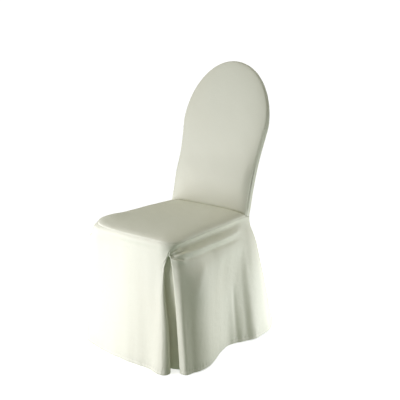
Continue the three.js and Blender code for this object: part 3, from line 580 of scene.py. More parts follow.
def rolled_edge(rows, below, roll_at_hem):
    """Columns that carry a panel's rows on round its rolled edge and back behind it.

    rows start at the turn. The roll's tip, the cloth's inner edge and the way inwards come with them.
    """
    down = np.clip((below - TACK) / (SEAT_HEIGHT - TACK), 0, 1)
    radius = mix(ROLL_AT_TACK, roll_at_hem, down**ROLL_GROWS)[:, None]
    length = mix(RETURN["tack"], RETURN["hem"], down)
    turn = rows[:, 0]
    ahead = level(turn - rows[:, 1])
    inward = inward_of(ahead, turn)
    angles = np.radians(np.linspace(0, ROLL_TURN, ROLL_COLUMNS + 1)[1:])
    rolled = [turn + ahead * radius * math.sin(a) + inward * radius * (1 - math.cos(a)) for a in angles]
    far = lengths_along(rows)
    behind = np.array([along_values(far[i], rows[i], length[i]) for i in range(len(rows))])
    deep = inward_of(level(turn - behind), turn)
    inner = behind + deep * (2 * radius + RETURN["gap"])
    tip = rolled[-1]
    leaving = unit(ahead * math.cos(angles[-1]) + inward * math.sin(angles[-1]))
    bend = tip + leaving * np.linalg.norm(inner - tip, axis=1, keepdims=True) / 2
    shares = np.linspace(0, 1, RETURN_COLUMNS + 1)[1:]
    folded = [bent(tip, bend, inner, t) for t in shares]
    columns = np.stack(rolled + folded, axis=1)
    lowered = BELOW_SEAT["deep"] * (1 - np.clip(below / BELOW_SEAT["over"], 0, 1))
    ease = np.minimum(1.0, np.linspace(BELOW_SEAT["first"], BELOW_SEAT["later"], columns.shape[1]))
    columns[..., 2] -= lowered[:, None] * ease
    return columns, (tip, inner, deep)


def grid_normals(grid, flipped):
    """Unit normals of a grid of points, outwards."""
    normal = unit(np.cross(np.gradient(grid, axis=1), np.gradient(grid, axis=0)))
    return -normal if flipped else normal


FOLD_STEPS = 25
FOLD_REACH = 4  # how many spreads away a fold still counts


def fold_out(panel, at, below):
    """How far the folds of a panel stand out of it, at grids of places."""
    total = np.zeros(at.shape)
    for row in FOLDS:
        if row["panel"] != panel:
            continue
        start, end = np.array([row["at"], row["below"]]), np.array([row["to_at"], row["to_below"]])
        ahead = unit(end - start)
        bend = (start + end) / 2 + 2 * row["sag"] * np.array([-ahead[1], ahead[0]])
        line = curve_points([start, bend, end], FOLD_STEPS)
        reach = FOLD_REACH * max(row["wide"], row["wide_end"])
        low, high = line.min(0) - reach, line.max(0) + reach
        near = (at > low[0]) & (at < high[0]) & (below > low[1]) & (below < high[1])
        if not near.any():
            continue
        step = (line[1:] - line[:-1])[None]
        from_start = np.stack([at[near], below[near]], axis=-1)[:, None, :] - line[None, :-1]
        along = np.clip(np.sum(from_start * step, axis=-1) / np.sum(step * step, axis=-1), 0, 1)
        offset = from_start - step * along[..., None]
        distance = np.linalg.norm(offset, axis=-1)
        nearest = distance.argmin(axis=1)
        picked = np.arange(len(nearest))
        share = (nearest + along[picked, nearest]) / (FOLD_STEPS - 1)
        apart, aside, ahead = distance[picked, nearest], offset[picked, nearest], step[0, nearest]
        cross = ahead[:, 0] * aside[:, 1] - ahead[:, 1] * aside[:, 0]
        wide = mix(row["wide"], row["wide_end"], share) * np.where(cross > 0, row.get("crisp", 1.0), 1.0)
        fades = smooth(share / row["fade_in"]) * smooth((1 - share) / row["fade_out"])
        total[near] += row["out"] * fades * bump(apart, wide)
    return total


def distance_to_line(points, line):
    """Distance of points from a line of points, and how far along it the nearest place is."""
    shape = points.shape[:-1]
    flat = points.reshape(-1, points.shape[-1])
    along = lengths_along(line)
    best, where = np.full(len(flat), 1e9), np.zeros(len(flat))
    for i in range(len(line) - 1):
        step = line[i + 1] - line[i]
        share = np.clip((flat - line[i]) @ step / (step @ step), 0, 1)
        distance = np.linalg.norm(flat - line[i] - share[:, None] * step, axis=1)
        closer = distance < best
        best[closer] = distance[closer]
        where[closer] = mix(along[i], along[i + 1], share[closer])
    return best.reshape(shape), where.reshape(shape)


def coons(front, rear, left, right, u, v):
    """A surface stretched between four edges. front, rear: along u; left, right: along v."""
    u, v = u[None, :, None], v[:, None, None]
    across = front[None] * (1 - v) + rear[None] * v
    along = left[:, None] * (1 - u) + right[:, None] * u
    front_corners = front[0] * (1 - u) + front[-1] * u
    rear_corners = rear[0] * (1 - u) + rear[-1] * u
    return across + along - front_corners * (1 - v) - rear_corners * v


# ---- turning grids into cloth ----
THICKNESS = 0.8
pieces = {}


def add_mesh(name, vertices, faces, material):
    """An object of one mesh and one material. vertices: in metres."""
    mesh = bpy.data.meshes.new(name)
    mesh.from_pydata(vertices.tolist(), [], faces)
    mesh.polygons.foreach_set("use_smooth", np.ones(len(mesh.polygons), bool))
    mesh.materials.append(material)
    mesh.update()
    made = bpy.data.objects.new(name, mesh)
    bpy.context.scene.collection.objects.link(made)
    return made


def grid_faces(index):
    """Four-sided faces of a grid of vertex numbers."""
    corners = [index[:-1, :-1], index[:-1, 1:], index[1:, 1:], index[1:, :-1]]
    return np.stack(corners, axis=-1).reshape(-1, 4)


def make_cloth(name, grid, flat, flipped, material):
    """A closed thin sheet of cloth on a grid of points. flat: each point's place in the flat cloth."""
    half = grid_normals(grid, flipped) * (THICKNESS / 2)
    count = grid.shape[0] * grid.shape[1]
    index = np.arange(count).reshape(grid.shape[:2])
    faces = grid_faces(index)
    rim = np.concatenate([index[0, :], index[1:, -1], index[-1, -2::-1], index[-2:0:-1, 0]])
    following = np.roll(rim, -1)
    edge = np.stack([following, rim, rim + count, following + count], axis=-1)
    if flipped:
        faces, edge = faces[:, ::-1], edge[:, ::-1]
    faces = np.concatenate([faces, faces[:, ::-1] + count, edge])
    vertices = np.concatenate([(grid + half).reshape(-1, 3), (grid - half).reshape(-1, 3)])
    piece = add_mesh(name, vertices * MM + FOOT_OF_BACK, faces.tolist(), material)
    corners = np.zeros(len(piece.data.loops), np.int32)
    piece.data.loops.foreach_get("vertex_index", corners)
    places = np.concatenate([flat.reshape(-1, 2)] * 2) * MM
    layer = piece.data.uv_layers.new(name="cloth")
    layer.uv.foreach_set("vector", places[corners].astype(np.float32).ravel())
    pieces[name] = piece


# ---- sewing ----
# deep, wide: the groove. pucker, reach: the gathers beside it. turned: how near it the cloth turns in.
SEAT_SEAM = {"deep": 1.5, "wide": 1.5, "pucker": 0.28, "reach": 9.0, "turned": 4.0}
BACK_SEAM = {"deep": 1.7, "wide": 1.9, "pucker": 0.22, "reach": 7.0, "turned": 5.0}
CORNER_SEAM = {"deep": 1.6, "wide": 1.6, "pucker": 0.3, "reach": 10.0, "turned": 4.0}
FOOT_SEAM = {"deep": 0.2, "wide": 2.6, "pucker": 0.3, "reach": 10.0, "turned": 5.0}
# The slight roll of cloth beside a groove: its height, place and spread, for a groove of 1 by 1.
BESIDE_SEAM = {"high": 0.18, "at": 3.2, "wide": 1.5}
PUCKERS = {"every": 9.0, "fine_every": 4.5, "fine_share": 0.6, "start": 1.5}


def sewn(normals, distance, along, toward, seam, seed):
    """Offsets that draw cloth in along a seam. toward: the way out between its two pieces."""
    beside = bump(distance - BESIDE_SEAM["at"] * seam["wide"], BESIDE_SEAM["wide"] * seam["wide"])
    out = seam["deep"] * (BESIDE_SEAM["high"] * beside - np.exp(-((distance / seam["wide"]) ** 2)))
    fine = PUCKERS["fine_share"] * ripple(along, PUCKERS["fine_every"], seed + 1)
    gathers = ripple(along, PUCKERS["every"], seed) + fine
    fades = np.exp(-distance / seam["reach"]) * smooth(distance / PUCKERS["start"])
    out = out + seam["pucker"] * gathers * fades
    turn = np.exp(-((distance / seam["turned"]) ** 2))[..., None]
    return unit(mix(normals, toward, turn)) * out[..., None]


HEM = {"deep": 12.0, "edge": 2.0, "proud": 0.45, "groove": 0.9, "groove_wide": 1.2, "stitch_at": 11.0}
HEM_PUCKERS = {"out": 0.7, "every": 14.0, "wide": 7.0}
HEM_WAVES = {"out": 1.3, "every": 70.0, "soft": 45.0}


def hem_out(at, above, seed):
    """How far a hem stands out of its panel. above: height over the hem's edge, down the cloth."""
    band = HEM["proud"] * smooth((HEM["deep"] - above) / HEM["edge"])
    off_stitch = above - HEM["stitch_at"]
    groove = -HEM["groove"] * bump(off_stitch, HEM["groove_wide"])
    puckers = HEM_PUCKERS["out"] * ripple(at, HEM_PUCKERS["every"], seed)
    waves = HEM_WAVES["out"] * ripple(at, HEM_WAVES["every"], seed + 1)
    waves = waves * np.exp(-np.maximum(above, 0) / HEM_WAVES["soft"])
    return band + groove + puckers * bump(off_stitch, HEM_PUCKERS["wide"]) + waves


# Slight unevenness of the cloth: soft swells, and finer ones. long, under 1, draws the soft ones out down
# the cloth. UNEVEN_FROM_SEAM and UNEVEN_FROM_SEAT: how far from a seam, or under the seat, it sets in.
UNEVEN = {
    "skirt": {"soft": 0.55, "every": 70.0, "long": 0.35, "fine": 0.16, "fine_every": 22.0},
    "seat": {"soft": 0.45, "every": 70.0, "long": 1.0, "fine": 0.14, "fine_every": 24.0},
    "inside back": {"soft": 0.5, "every": 80.0, "long": 1.0, "fine": 0.12, "fine_every": 24.0},
    "outside back": {"soft": 0.7, "every": 70.0, "long": 0.6, "fine": 0.14, "fine_every": 24.0},
}
UNEVEN_FROM_SEAM = 20.0
UNEVEN_FROM_SEAT = 25.0


def uneven_out(panel, at, below, seed):
    size = UNEVEN[panel]
    soft = size["soft"] * mottle(at, below * size["long"], size["every"], seed)
    return soft + size["fine"] * mottle(at, below, size["fine_every"], seed + 1)


# ---- grids of places on the cloth ----
# Steps of the grids: near their ends, far from them, and how far in the near ones reach.
STEPS_DOWN = {"fine": 1.4, "coarse": 3.2, "reach": 34}
STEPS_ALONG = {"fine": 1.3, "coarse": 2.9, "reach": 30}
STEPS_SEAT = {"fine": 1.2, "coarse": 2.9, "reach": 26}
STEPS_ACROSS_BACK = {"fine": 1.3, "coarse": 2.9, "reach": 26}
STEPS_UP_BACK = {"fine": 1.4, "coarse": 3.2, "reach": 26}
# Rows are closest down to FINE_DEPTH, and the columns of the side skirts as far as FINE_UNTIL.
FINE_DEPTH, FINE_ROWS = 80, 56
FINE_UNTIL, FINE_COLUMNS = 262, 44


def join(first, second):
    """Two runs of places, where the second starts at the first one's end."""
    return np.concatenate([first[:-1], second])


def flat_places(grid):
    """Where each point of a grid lies in its flat cloth: its lengths across from the middle and down."""
    across = lengths_along(grid)
    across = across - across[:, across.shape[1] // 2][:, None]
    down = np.swapaxes(lengths_along(np.swapaxes(grid, 0, 1)), 0, 1)
    return np.stack([across, -down], axis=-1)


DEPTHS = join(
    np.linspace(0, FINE_DEPTH, FINE_ROWS),
    FINE_DEPTH + graded(SEAT_HEIGHT - FINE_DEPTH, **STEPS_DOWN),
)
FRONT_END = FRONT_LINES[-1]["at"]
SIDE_START, SIDE_END = RIGHT_LINES[0]["at"], RIGHT_LINES[-1]["at"]
FRONT_AT = graded(2 * FRONT_END, **STEPS_ALONG) - FRONT_END
SIDE_AT = join(
    np.linspace(SIDE_START, FINE_UNTIL, FINE_COLUMNS),
    FINE_UNTIL + graded(SIDE_END - FINE_UNTIL, **STEPS_ALONG),
)
SHIFT_FADES = 18.0  # how far round a rolled edge the panel's own unevenness carries on


class Skirt:
    """A skirt panel: its grid without rolled edges, and the whole grid with them."""

    def __init__(self, panel, lines, at, rolls, seed, mirrored=False):
        side = -1 if mirrored else 1
        self.rolls, self.edges, self.flipped = rolls, {}, not mirrored
        places, self.depths = np.meshgrid(at, DEPTHS)
        self.plain = skirt(panel, lines, places, self.depths) * [side, 1, 1]
        lift = rim_height(side * places) - rim_height(places)
        self.plain[..., 2] += lift * (1 - self.depths / SEAT_HEIGHT)
        self.normals = grid_normals(self.plain, self.flipped)
        under_seat = smooth(self.depths / UNEVEN_FROM_SEAT)
        out = fold_out(panel, places, self.depths) + hem_out(places, SEAT_HEIGHT - self.depths, seed + 5)
        out = out + uneven_out("skirt", places, self.depths, seed) * under_seat
        toward = unit(rim_outward(places) * [side, 1, 1] + UPWARDS)
        self.move = sewn(self.normals, self.depths, places, toward, SEAT_SEAM, seed + 9)
        self.move += self.normals * out[..., None]

    def sew_rear(self, toward, seed):
        """Draw the panel in at the seam down its last column."""
        row = lengths_along(self.plain)
        distance = row[:, -1:] - row
        self.move += sewn(self.normals, distance, self.depths, toward[:, None], CORNER_SEAM, seed)

    def whole(self):
        parts = [self.plain + self.move]
        for end, roll in self.rolls.items():
            order = -1 if end == "last" else 1
            rows, shift = self.plain[:, ::order], self.move[:, ::order][:, :1]
            columns, self.edges[end] = rolled_edge(rows, DEPTHS, roll)
            path = lengths_along(np.concatenate([rows[:, :1], columns], axis=1))[:, 1:]
            columns = columns + shift * np.exp(-path / SHIFT_FADES)[..., None]
            parts = parts + [columns] if end == "last" else [columns[:, ::-1]] + parts
        return np.concatenate(parts, axis=1)


FRONT_ROLLS = {"first": ROLL_AT_HEM["left"], "last": ROLL_AT_HEM["right"]}
SIDE_ROLLS = {"first": ROLL_AT_HEM["side"]}
front = Skirt("front", FRONT_LINES, FRONT_AT, FRONT_ROLLS, 10)
right = Skirt("right", RIGHT_LINES, SIDE_AT, SIDE_ROLLS, 30)
left = Skirt("left", LEFT_LINES, SIDE_AT, SIDE_ROLLS, 50, mirrored=True)


# ---- padded panels: the seat and the inside back ----
PADDING = {"seat": {"high": 7.5, "soft": 8.5}, "inside back": {"high": 5.0, "soft": 10.0}}


def make_padded(name, panel, plain, places, rim, foot, seeds, material):
    """A padded panel, drawn in along its rim and its foot.

    rim: distance from it, place along it, way out of it and its seam. foot: distance and place along it.
    """
    normals = grid_normals(plain, False)
    distance, along, toward, seam = rim
    foot_way = unit(UPWARDS + forwards(0.0))
    move = sewn(normals, distance, along, unit(toward), seam, seeds[0])
    move = move + sewn(normals, *foot, foot_way, FOOT_SEAM, seeds[1])
    inside = np.minimum(distance, foot[0])
    out = PADDING[panel]["high"] * (1 - np.exp(-inside / PADDING[panel]["soft"]))
    out = out + uneven_out(panel, *places, seeds[2]) * smooth(inside / UNEVEN_FROM_SEAM)
    out = out + fold_out(panel, *places)
    grid = plain + move + normals * out[..., None]
    make_cloth(name, grid, flat_places(plain), False, material)


SEAT_ACROSS = 372.0


def rim_edge(at):
    """Point of the seat's seam in space."""
    point = rim_point(at)
    point[..., 2] = rim_height(at)
    return point


def foot_point(across):
    """The foot of the inside back, from its left end (-1) to its right (1)."""
    lift = SEAT_CROWN * (1 - np.abs(across) ** FOOT_CROWN_FALLS)
    crown = BACK_CROWN * (1 - np.abs(across) ** BACK_CROWN_FALLS)
    point = back_line(lift) + forwards(lift) * crown[..., None]
    point[..., 0] = across * SEAT_REAR_HALF
    return point


def seat_grid():
    us = graded(SEAT_ACROSS, **STEPS_SEAT) / SEAT_ACROSS
    vs = graded(SEAT_DEPTH, **STEPS_SEAT) / SEAT_DEPTH
    side_at = mix(SEAM_AT, POST_AT, vs)
    front_edge = rim_edge(mix(-SEAM_AT, SEAM_AT, us))
    grid = coons(front_edge, foot_point(2 * us - 1), rim_edge(-side_at), rim_edge(side_at), us, vs)
    to_side = np.abs(2 * us - 1)[None, :]
    to_front = ((1 - vs) ** CROWN_FALLS["front"])[:, None]
    to_rear = (vs ** EDGE_HOLDS["rear"])[:, None]
    crown = SEAT_CROWN * (1 - to_side ** CROWN_FALLS["side"]) * (1 - to_front)
    edge = np.maximum(np.maximum(to_front, to_rear), to_side ** EDGE_HOLDS["side"])
    lift = (front_edge[:, 2] - SEAT_HEIGHT) * np.exp(-vs * SEAT_DEPTH / CORNER_LIFT["wide"])[:, None]
    swell = 0.0
    for row in SEAT_SWELLS:
        distance = np.hypot(grid[..., 0] - row["x"], grid[..., 1] - row["y"])
        swell = swell + row["rise"] * bump(distance, row["wide"])
    grid[..., 2] = mix(SEAT_HEIGHT + crown + lift, grid[..., 2], edge) + swell * (1 - edge)
    return grid


def make_seat(material):
    plain = seat_grid()
    x, y = plain[..., 0], plain[..., 1]
    rim_at = join(np.linspace(-POST_AT, 0, 220), np.linspace(0, POST_AT, 220))
    rim = rim_point(rim_at)[:, :2]
    distance, along = distance_to_line(plain[..., :2], rim)
    toward = along_values(lengths_along(rim), rim_outward(rim_at) + UPWARDS, along)
    foot = distance_to_line(plain[..., :2], foot_point(np.linspace(-1, 1, 80))[:, :2])
    rim_sewing = (distance, along, toward, SEAT_SEAM)
    make_padded("seat_top", "seat", plain, (x, y), rim_sewing, foot, (71, 75, 77), material)


# ---- panels of the back ----
ROUND_FROM = 48.0  # degrees round the top where a back panel's side edge ends and its top edge begins
BACK_ACROSS = {"inside": 380.0, "outside": 318.0}
BACK_TALL = {"inside": 545.0, "outside": 500.0}


def outline_point(turn):
    """Right half of the inside back's outline in its own plane. turn: under 0 on the straight side."""
    turn = np.asarray(turn, float)
    angle = np.radians(np.clip(turn, 0, 90))
    up = np.where(turn < 0, STRAIGHT + turn, STRAIGHT + ROUND_TOP * np.sin(angle))
    x = np.where(turn < 0, back_half_width(np.minimum(up, STRAIGHT)), TOP_HALF * np.cos(angle))
    return np.stack([x, up], axis=-1)


def back_plane(which):
    """Places (x, up) over the whole of a back panel, stretched between its four edges."""
    us = graded(BACK_ACROSS[which], **STEPS_ACROSS_BACK) / BACK_ACROSS[which]
    vs = graded(BACK_TALL[which], **STEPS_UP_BACK) / BACK_TALL[which]
    side = outline_point(join(np.linspace(-STRAIGHT, 0, 120), np.linspace(0, ROUND_FROM, 90)))
    top = outline_point(np.linspace(ROUND_FROM, 90, 60))
    top = np.concatenate([top * [-1, 1], top[::-1][1:]])
    foot = np.stack([mix(-SEAT_REAR_HALF, SEAT_REAR_HALF, us), np.zeros(len(us))], axis=-1)
    right_side = resampled(side, vs)
    return coons(foot, resampled(top, us), right_side * [-1, 1], right_side, us, vs)


def back_rim():
    """The whole outline (x, up) from the left foot over the top to the right foot, and the way out."""
    half = outline_point(join(np.linspace(-STRAIGHT, 0, 130), np.linspace(0, 90, 150)))
    line = np.concatenate([half * [-1, 1], half[::-1][1:]])
    along = unit(np.gradient(line, axis=0))
    return line, np.stack([-along[:, 1], along[:, 0]], axis=-1)


BACK_RIM, BACK_RIM_OUT = back_rim()
BACK_RIM_LENGTHS = lengths_along(BACK_RIM)


def lifted_outward(outward, up):
    """A direction in the back's own plane, in space."""
    slope = np.interp(up, UPS, SLOPES)
    return stack(outward[..., 0], outward[..., 1] * np.sin(slope), outward[..., 1] * np.cos(slope))


def back_rim_way(along, facing):
    """The way between out of the back's rim and out of its front (facing 1) or its rear (-1)."""
    up = BACK_RIM[:, 1]
    way = lifted_outward(BACK_RIM_OUT, up) + facing * forwards(up)
    return along_values(BACK_RIM_LENGTHS, way, along)


def inside_back_surface(x, up):
    across = np.clip(x / np.maximum(back_half_width(up), 1.0), -1, 1)
    lift = SEAT_CROWN * (1 - across**FOOT_CROWN_FALLS) * (1 - smooth(up / FOOT_BLEND))
    crown = BACK_CROWN * (1 - towards_edge(x, up) ** BACK_CROWN_FALLS)
    point = back_line(up + lift) + forwards(up + lift) * crown[..., None]
    point[..., 0] = x
    return point


def make_inside_back(material):
    plane = back_plane("inside")
    x, up = plane[..., 0], plane[..., 1]
    distance, along = distance_to_line(plane, BACK_RIM)
    rim_sewing = (distance, along, back_rim_way(along, 1), BACK_SEAM)
    plain = inside_back_surface(x, up)
    make_padded("back_front", "inside back", plain, (x, up), rim_sewing, (up, x), (81, 83, 85), material)


def rear_rim(x_share, up):
    """Outline of the outside back. x_share: -1 at its left edge, 1 at its right."""
    ups = column(STRIP_WIDTHS, "up")
    slimmer, width = (through(ups, column(STRIP_WIDTHS, name), up) for name in ("slimmer", "width"))
    shrunk = 1 - slimmer / TOP_HALF
    lower = up - np.maximum(0, up - STRAIGHT) * (1 - shrunk)
    point = back_line(lower) - forwards(up) * width[..., None]
    point[..., 0] = x_share * back_half_width(up) * shrunk
    return point


def rear_scale(up):
    """How much narrower the outside back is than the inside back."""
    return rear_rim(1.0, up)[..., 0] / np.maximum(back_half_width(up), 1e-3)


STRIP_STEP = 3.2
STRIP_SHARES = np.array([0, 0.05, 0.12, 0.25, 0.5, 0.75, 0.88, 0.95, 1.0])
STRIP_ARCH = 4 * STRIP_SHARES * (1 - STRIP_SHARES)  # 0 at the strip's edges, 1 in its middle
STRIP_BULGE = {"high": 3.0, "from_foot": 30.0}
STRIP_RIPPLE = {"out": 0.25, "every": 40.0}


def make_strip(material):
    """The strip's rows run from its left foot over the top, and its columns from its front edge."""
    length = BACK_RIM_LENGTHS[-1]
    line = resampled(BACK_RIM, np.linspace(0, 1, int(length / STRIP_STEP)))
    outward = along_values(BACK_RIM_LENGTHS, BACK_RIM_OUT, np.linspace(0, length, len(line)))
    up, run = line[:, 1], lengths_along(line)
    outward = unit(lifted_outward(outward, up))
    front_edge, rear_edge = back_line(up), rear_rim(0.0, up)
    front_edge[:, 0], rear_edge[:, 0] = line[:, 0], line[:, 0] * rear_scale(up)
    plain = mix(front_edge[:, None], rear_edge[:, None], STRIP_SHARES[None, :, None])
    from_foot = smooth(np.minimum(run, run[-1] - run) / STRIP_BULGE["from_foot"])[:, None]
    bulge = STRIP_BULGE["high"] * STRIP_ARCH * from_foot
    plain = plain + outward[:, None] * bulge[..., None]
    normals = grid_normals(plain, True)
    across = lengths_along(plain)
    along = np.broadcast_to(run[:, None], across.shape)
    front_way, rear_way = (unit(outward + facing * forwards(up))[:, None] for facing in (1, -1))
    move = sewn(normals, across, along, front_way, BACK_SEAM, 91)
    move = move + sewn(normals, across[:, -1:] - across, along, rear_way, CORNER_SEAM, 93)
    out = STRIP_RIPPLE["out"] * ripple(along, STRIP_RIPPLE["every"], 95) * STRIP_ARCH
    grid = plain + move + normals * out[..., None]
    make_cloth("back_edge_strip", grid, flat_places(plain), True, material)


# The outside back bends where it leaves the back and hangs. Passes of smoothing round it off.
BEND = {"wide": 34.0, "from_side": 25.0, "passes": 60, "each": 0.5}
HEM_BEGINS = 300.0  # depth under the seat below which the hem's own shapes are worked out


def outside_back_surface(x, up):
    share = np.clip(x / np.maximum(back_half_width(up), 1.0), -1, 1)
    rise = np.maximum(0, up - STRAIGHT) / ROUND_TOP
    point = rear_rim(share, up)
    point[..., 1] += BACK_HANG * (1 - share**2) * (1 - np.clip(rise, 0, 1) ** 2)
    at_top = 1 - STRIP_WIDTHS[-1]["slimmer"] / TOP_HALF
    point[..., 0] = x * np.where(back_half_width(up) > 1, rear_scale(up), at_top)
    return point, share


def soften_bend(plain, height, to_side):
    soft = smooth(to_side / BEND["from_side"]) * bump(height, BEND["wide"])
    for _ in range(BEND["passes"]):
        middle = (plain[:-2] + plain[2:]) / 2
        plain[1:-1] += BEND["each"] * soft[1:-1, :, None] * (middle - plain[1:-1])


def outside_back_grids():
    """The outside back and rear skirt in one, sewn and plain. The side skirts are sewn to it."""
    plane = back_plane("outside")[::-1, ::-1]
    x, up = plane[..., 0], plane[..., 1]
    upper, share = outside_back_surface(x, up)
    at = REAR_SEAM_AT + (1 - share[-1]) * REAR_FOOT[0]
    places, depths = np.meshgrid(at, DEPTHS[1:])
    lower = skirt("rear", REAR_LINES, places, depths)
    lower[:, 0], lower[:, -1] = right.plain[1:, -1], left.plain[1:, -1]
    plain = np.concatenate([upper, lower])
    foot = len(upper) - 1
    height = np.concatenate([up, -depths])
    row = lengths_along(plain)
    to_side = np.minimum(row, row[:, -1:] - row)
    soften_bend(plain, height, to_side)

    normals = grid_normals(plain, True)
    rim_distance, rim_along = distance_to_line(plane, BACK_RIM)
    distance = np.concatenate([rim_distance, to_side[foot + 1:]])
    along = np.concatenate([rim_along, depths])
    right_way = unit(right.normals[:, -1] + normals[foot:, 0])
    left_way = unit(left.normals[:, -1] + normals[foot:, -1])
    on_right = (np.arange(lower.shape[1]) < lower.shape[1] // 2)[None, :, None]
    low_way = np.where(on_right, right_way[1:, None], left_way[1:, None])
    toward = unit(np.concatenate([back_rim_way(rim_along, -1), low_way]))
    move = sewn(normals, distance, along, toward, CORNER_SEAM, 101)
    right.sew_rear(right_way, 103)
    left.sew_rear(left_way, 105)

    across = np.concatenate([x, np.broadcast_to(x[-1], depths.shape)])
    out = smooth(distance / UNEVEN_FROM_SEAM) * uneven_out("outside back", across, height, 107)
    out = out + np.where(height < -HEM_BEGINS, hem_out(across, SEAT_HEIGHT + height, 109), 0.0)
    return plain + move + normals * out[..., None], plain


def insert_grid(front_edge, side_edge):
    """Cloth behind a corner pleat, from behind the front's rolled edge to behind the side's."""
    rows = DEPTHS >= INSERT_TOP
    front_tip, front_inner, front_deep = (part[rows] for part in front_edge)
    side_tip, side_inner, side_deep = (part[rows] for part in side_edge)
    down = ((DEPTHS[rows] - TACK) / (SEAT_HEIGHT - TACK))[:, None]
    start = front_inner + front_deep * INSERT_CLEARANCE
    end = side_inner + side_deep * INSERT_CLEARANCE
    set_back = mix(INSERT_SET_BACK["top"], INSERT_SET_BACK["hem"], down)
    middle = (front_tip + side_tip) / 2 + unit(front_deep + side_deep) * set_back
    t = np.linspace(0, 1, INSERT_COLUMNS)[None, :, None]
    return bent(start[:, None], middle[:, None], end[:, None], t)


# ---- shaders ----
def operator(operation, swapped=False):
    """What a Value does for one sign of arithmetic. swapped: it stands to the right of the sign."""
    def work_out(value, other):
        return value.maths(operation, other, value) if swapped else value.maths(operation, value, other)
    return work_out


class Value:
    """A number that changes over a surface, to be used in expressions."""

    def __init__(self, shader, socket):
        self.shader, self.socket = shader, socket

    def maths(self, operation, *inputs):
        node = self.shader.node("ShaderNodeMath", {"operation": operation}, dict(enumerate(inputs)))
        return Value(self.shader, node.outputs[0])

    __add__, __radd__ = operator("ADD"), operator("ADD", swapped=True)
    __sub__, __rsub__ = operator("SUBTRACT"), operator("SUBTRACT", swapped=True)
    __mul__, __rmul__ = operator("MULTIPLY"), operator("MULTIPLY", swapped=True)

    def sine(self):
        return self.maths("SINE", self)

    def between(self, low, high):
        """0 under low, 1 over high, and a soft step between them."""
        ends = {"Value": self, "From Min": low, "From Max": high}
        node = self.shader.node("ShaderNodeMapRange", {"interpolation_type": "SMOOTHSTEP"}, ends)
        return Value(self.shader, node.outputs["Result"])


class Shader:
    """The nodes of a material, or of the surroundings."""

    def __init__(self, owner):
        self.owner = owner
        owner.use_nodes = True
        self.tree = owner.node_tree
        self.tree.nodes.clear()

    def node(self, kind, settings=(), sockets=()):
        """A node of any kind, with its settings made first, then its sockets set or linked."""
        node = self.tree.nodes.new(kind)
        for name, value in dict(settings).items():
            setattr(node, name, value)
        for name, value in dict(sockets).items():
            value = getattr(value, "socket", value)
            if isinstance(value, bpy.types.NodeSocket):
                self.tree.links.new(value, node.inputs[name])
            else:
                node.inputs[name].default_value = value
        return node

    def value(self, node, output):
        return Value(self, node.outputs[output])

    def place(self, kind):
        """Where a point is: its place in the object, or its direction where there is no object."""
        return self.node("ShaderNodeTexCoord").outputs[kind]

    def part(self, vector, axis):
        """One of the three numbers of a vector."""
        return self.value(self.node("ShaderNodeSeparateXYZ", {}, {0: vector}), axis)

    def noise(self, place, scale, detail=3.0, roughness=0.5):
        sockets = {"Vector": place, "Scale": scale, "Detail": detail, "Roughness": roughness}
        return self.value(self.node("ShaderNodeTexNoise", {}, sockets), "Fac")

    def blend(self, share, from_colour, to_colour):
        """One colour turned into another as share goes from 0 to 1."""
        sockets = {0: share, 6: from_colour, 7: to_colour}
        return self.node("ShaderNodeMix", {"data_type": "RGBA"}, sockets).outputs[2]

    def stretched(self, place, scale):
        node = self.node("ShaderNodeVectorMath", {"operation": "MULTIPLY"}, {0: place, 1: scale})
        return node.outputs[0]

    def bumped(self, strength, relief):
        """The way out of the surface, changed by a relief in metres."""
        sockets = {"Strength": strength, "Distance": 1.0, "Height": relief}
        return self.node("ShaderNodeBump", {}, sockets).outputs["Normal"]

    def finish(self, sockets):
        """The material, with a surface of these settings."""
        surface = self.node("ShaderNodeBsdfPrincipled", {}, sockets).outputs["BSDF"]
        output = self.node("ShaderNodeOutputMaterial", {}, {"Surface": surface})
        output.is_active_output = True
        return self.owner


IVORY = (0.79, 0.795, 0.655, 1.0)
IVORY_WARM = (0.785, 0.778, 0.630, 1.0)
IVORY_PALE = (0.82, 0.825, 0.70, 1.0)
HEM_GREY = (0.65, 0.65, 0.54, 1.0)
THREAD_DARK = (0.70, 0.67, 0.55, 1.0)
THREAD_PALE = (0.80, 0.78, 0.67, 1.0)
# Sizes here are in metres. The noises are given by scale, detail and, if it isn't 0.5, roughness.
YARN_PITCH = 0.0011
SLUBS = {"along": 28.0, "across": 900.0}
CRUMPLE = (46.0, 4.0, 0.55)
WEAR = (7.0, 3.0)
PATCHES = (2.3, 2.0)
TWIST = (900.0, 2.0)
RELIEF = {"weave": 0.00007, "slubs": 0.00022, "crumple": 0.0009, "twist": 0.0002}
SOILED = {"from": 0.004, "to": 0.05, "uneven": 0.03, "most": 0.35}


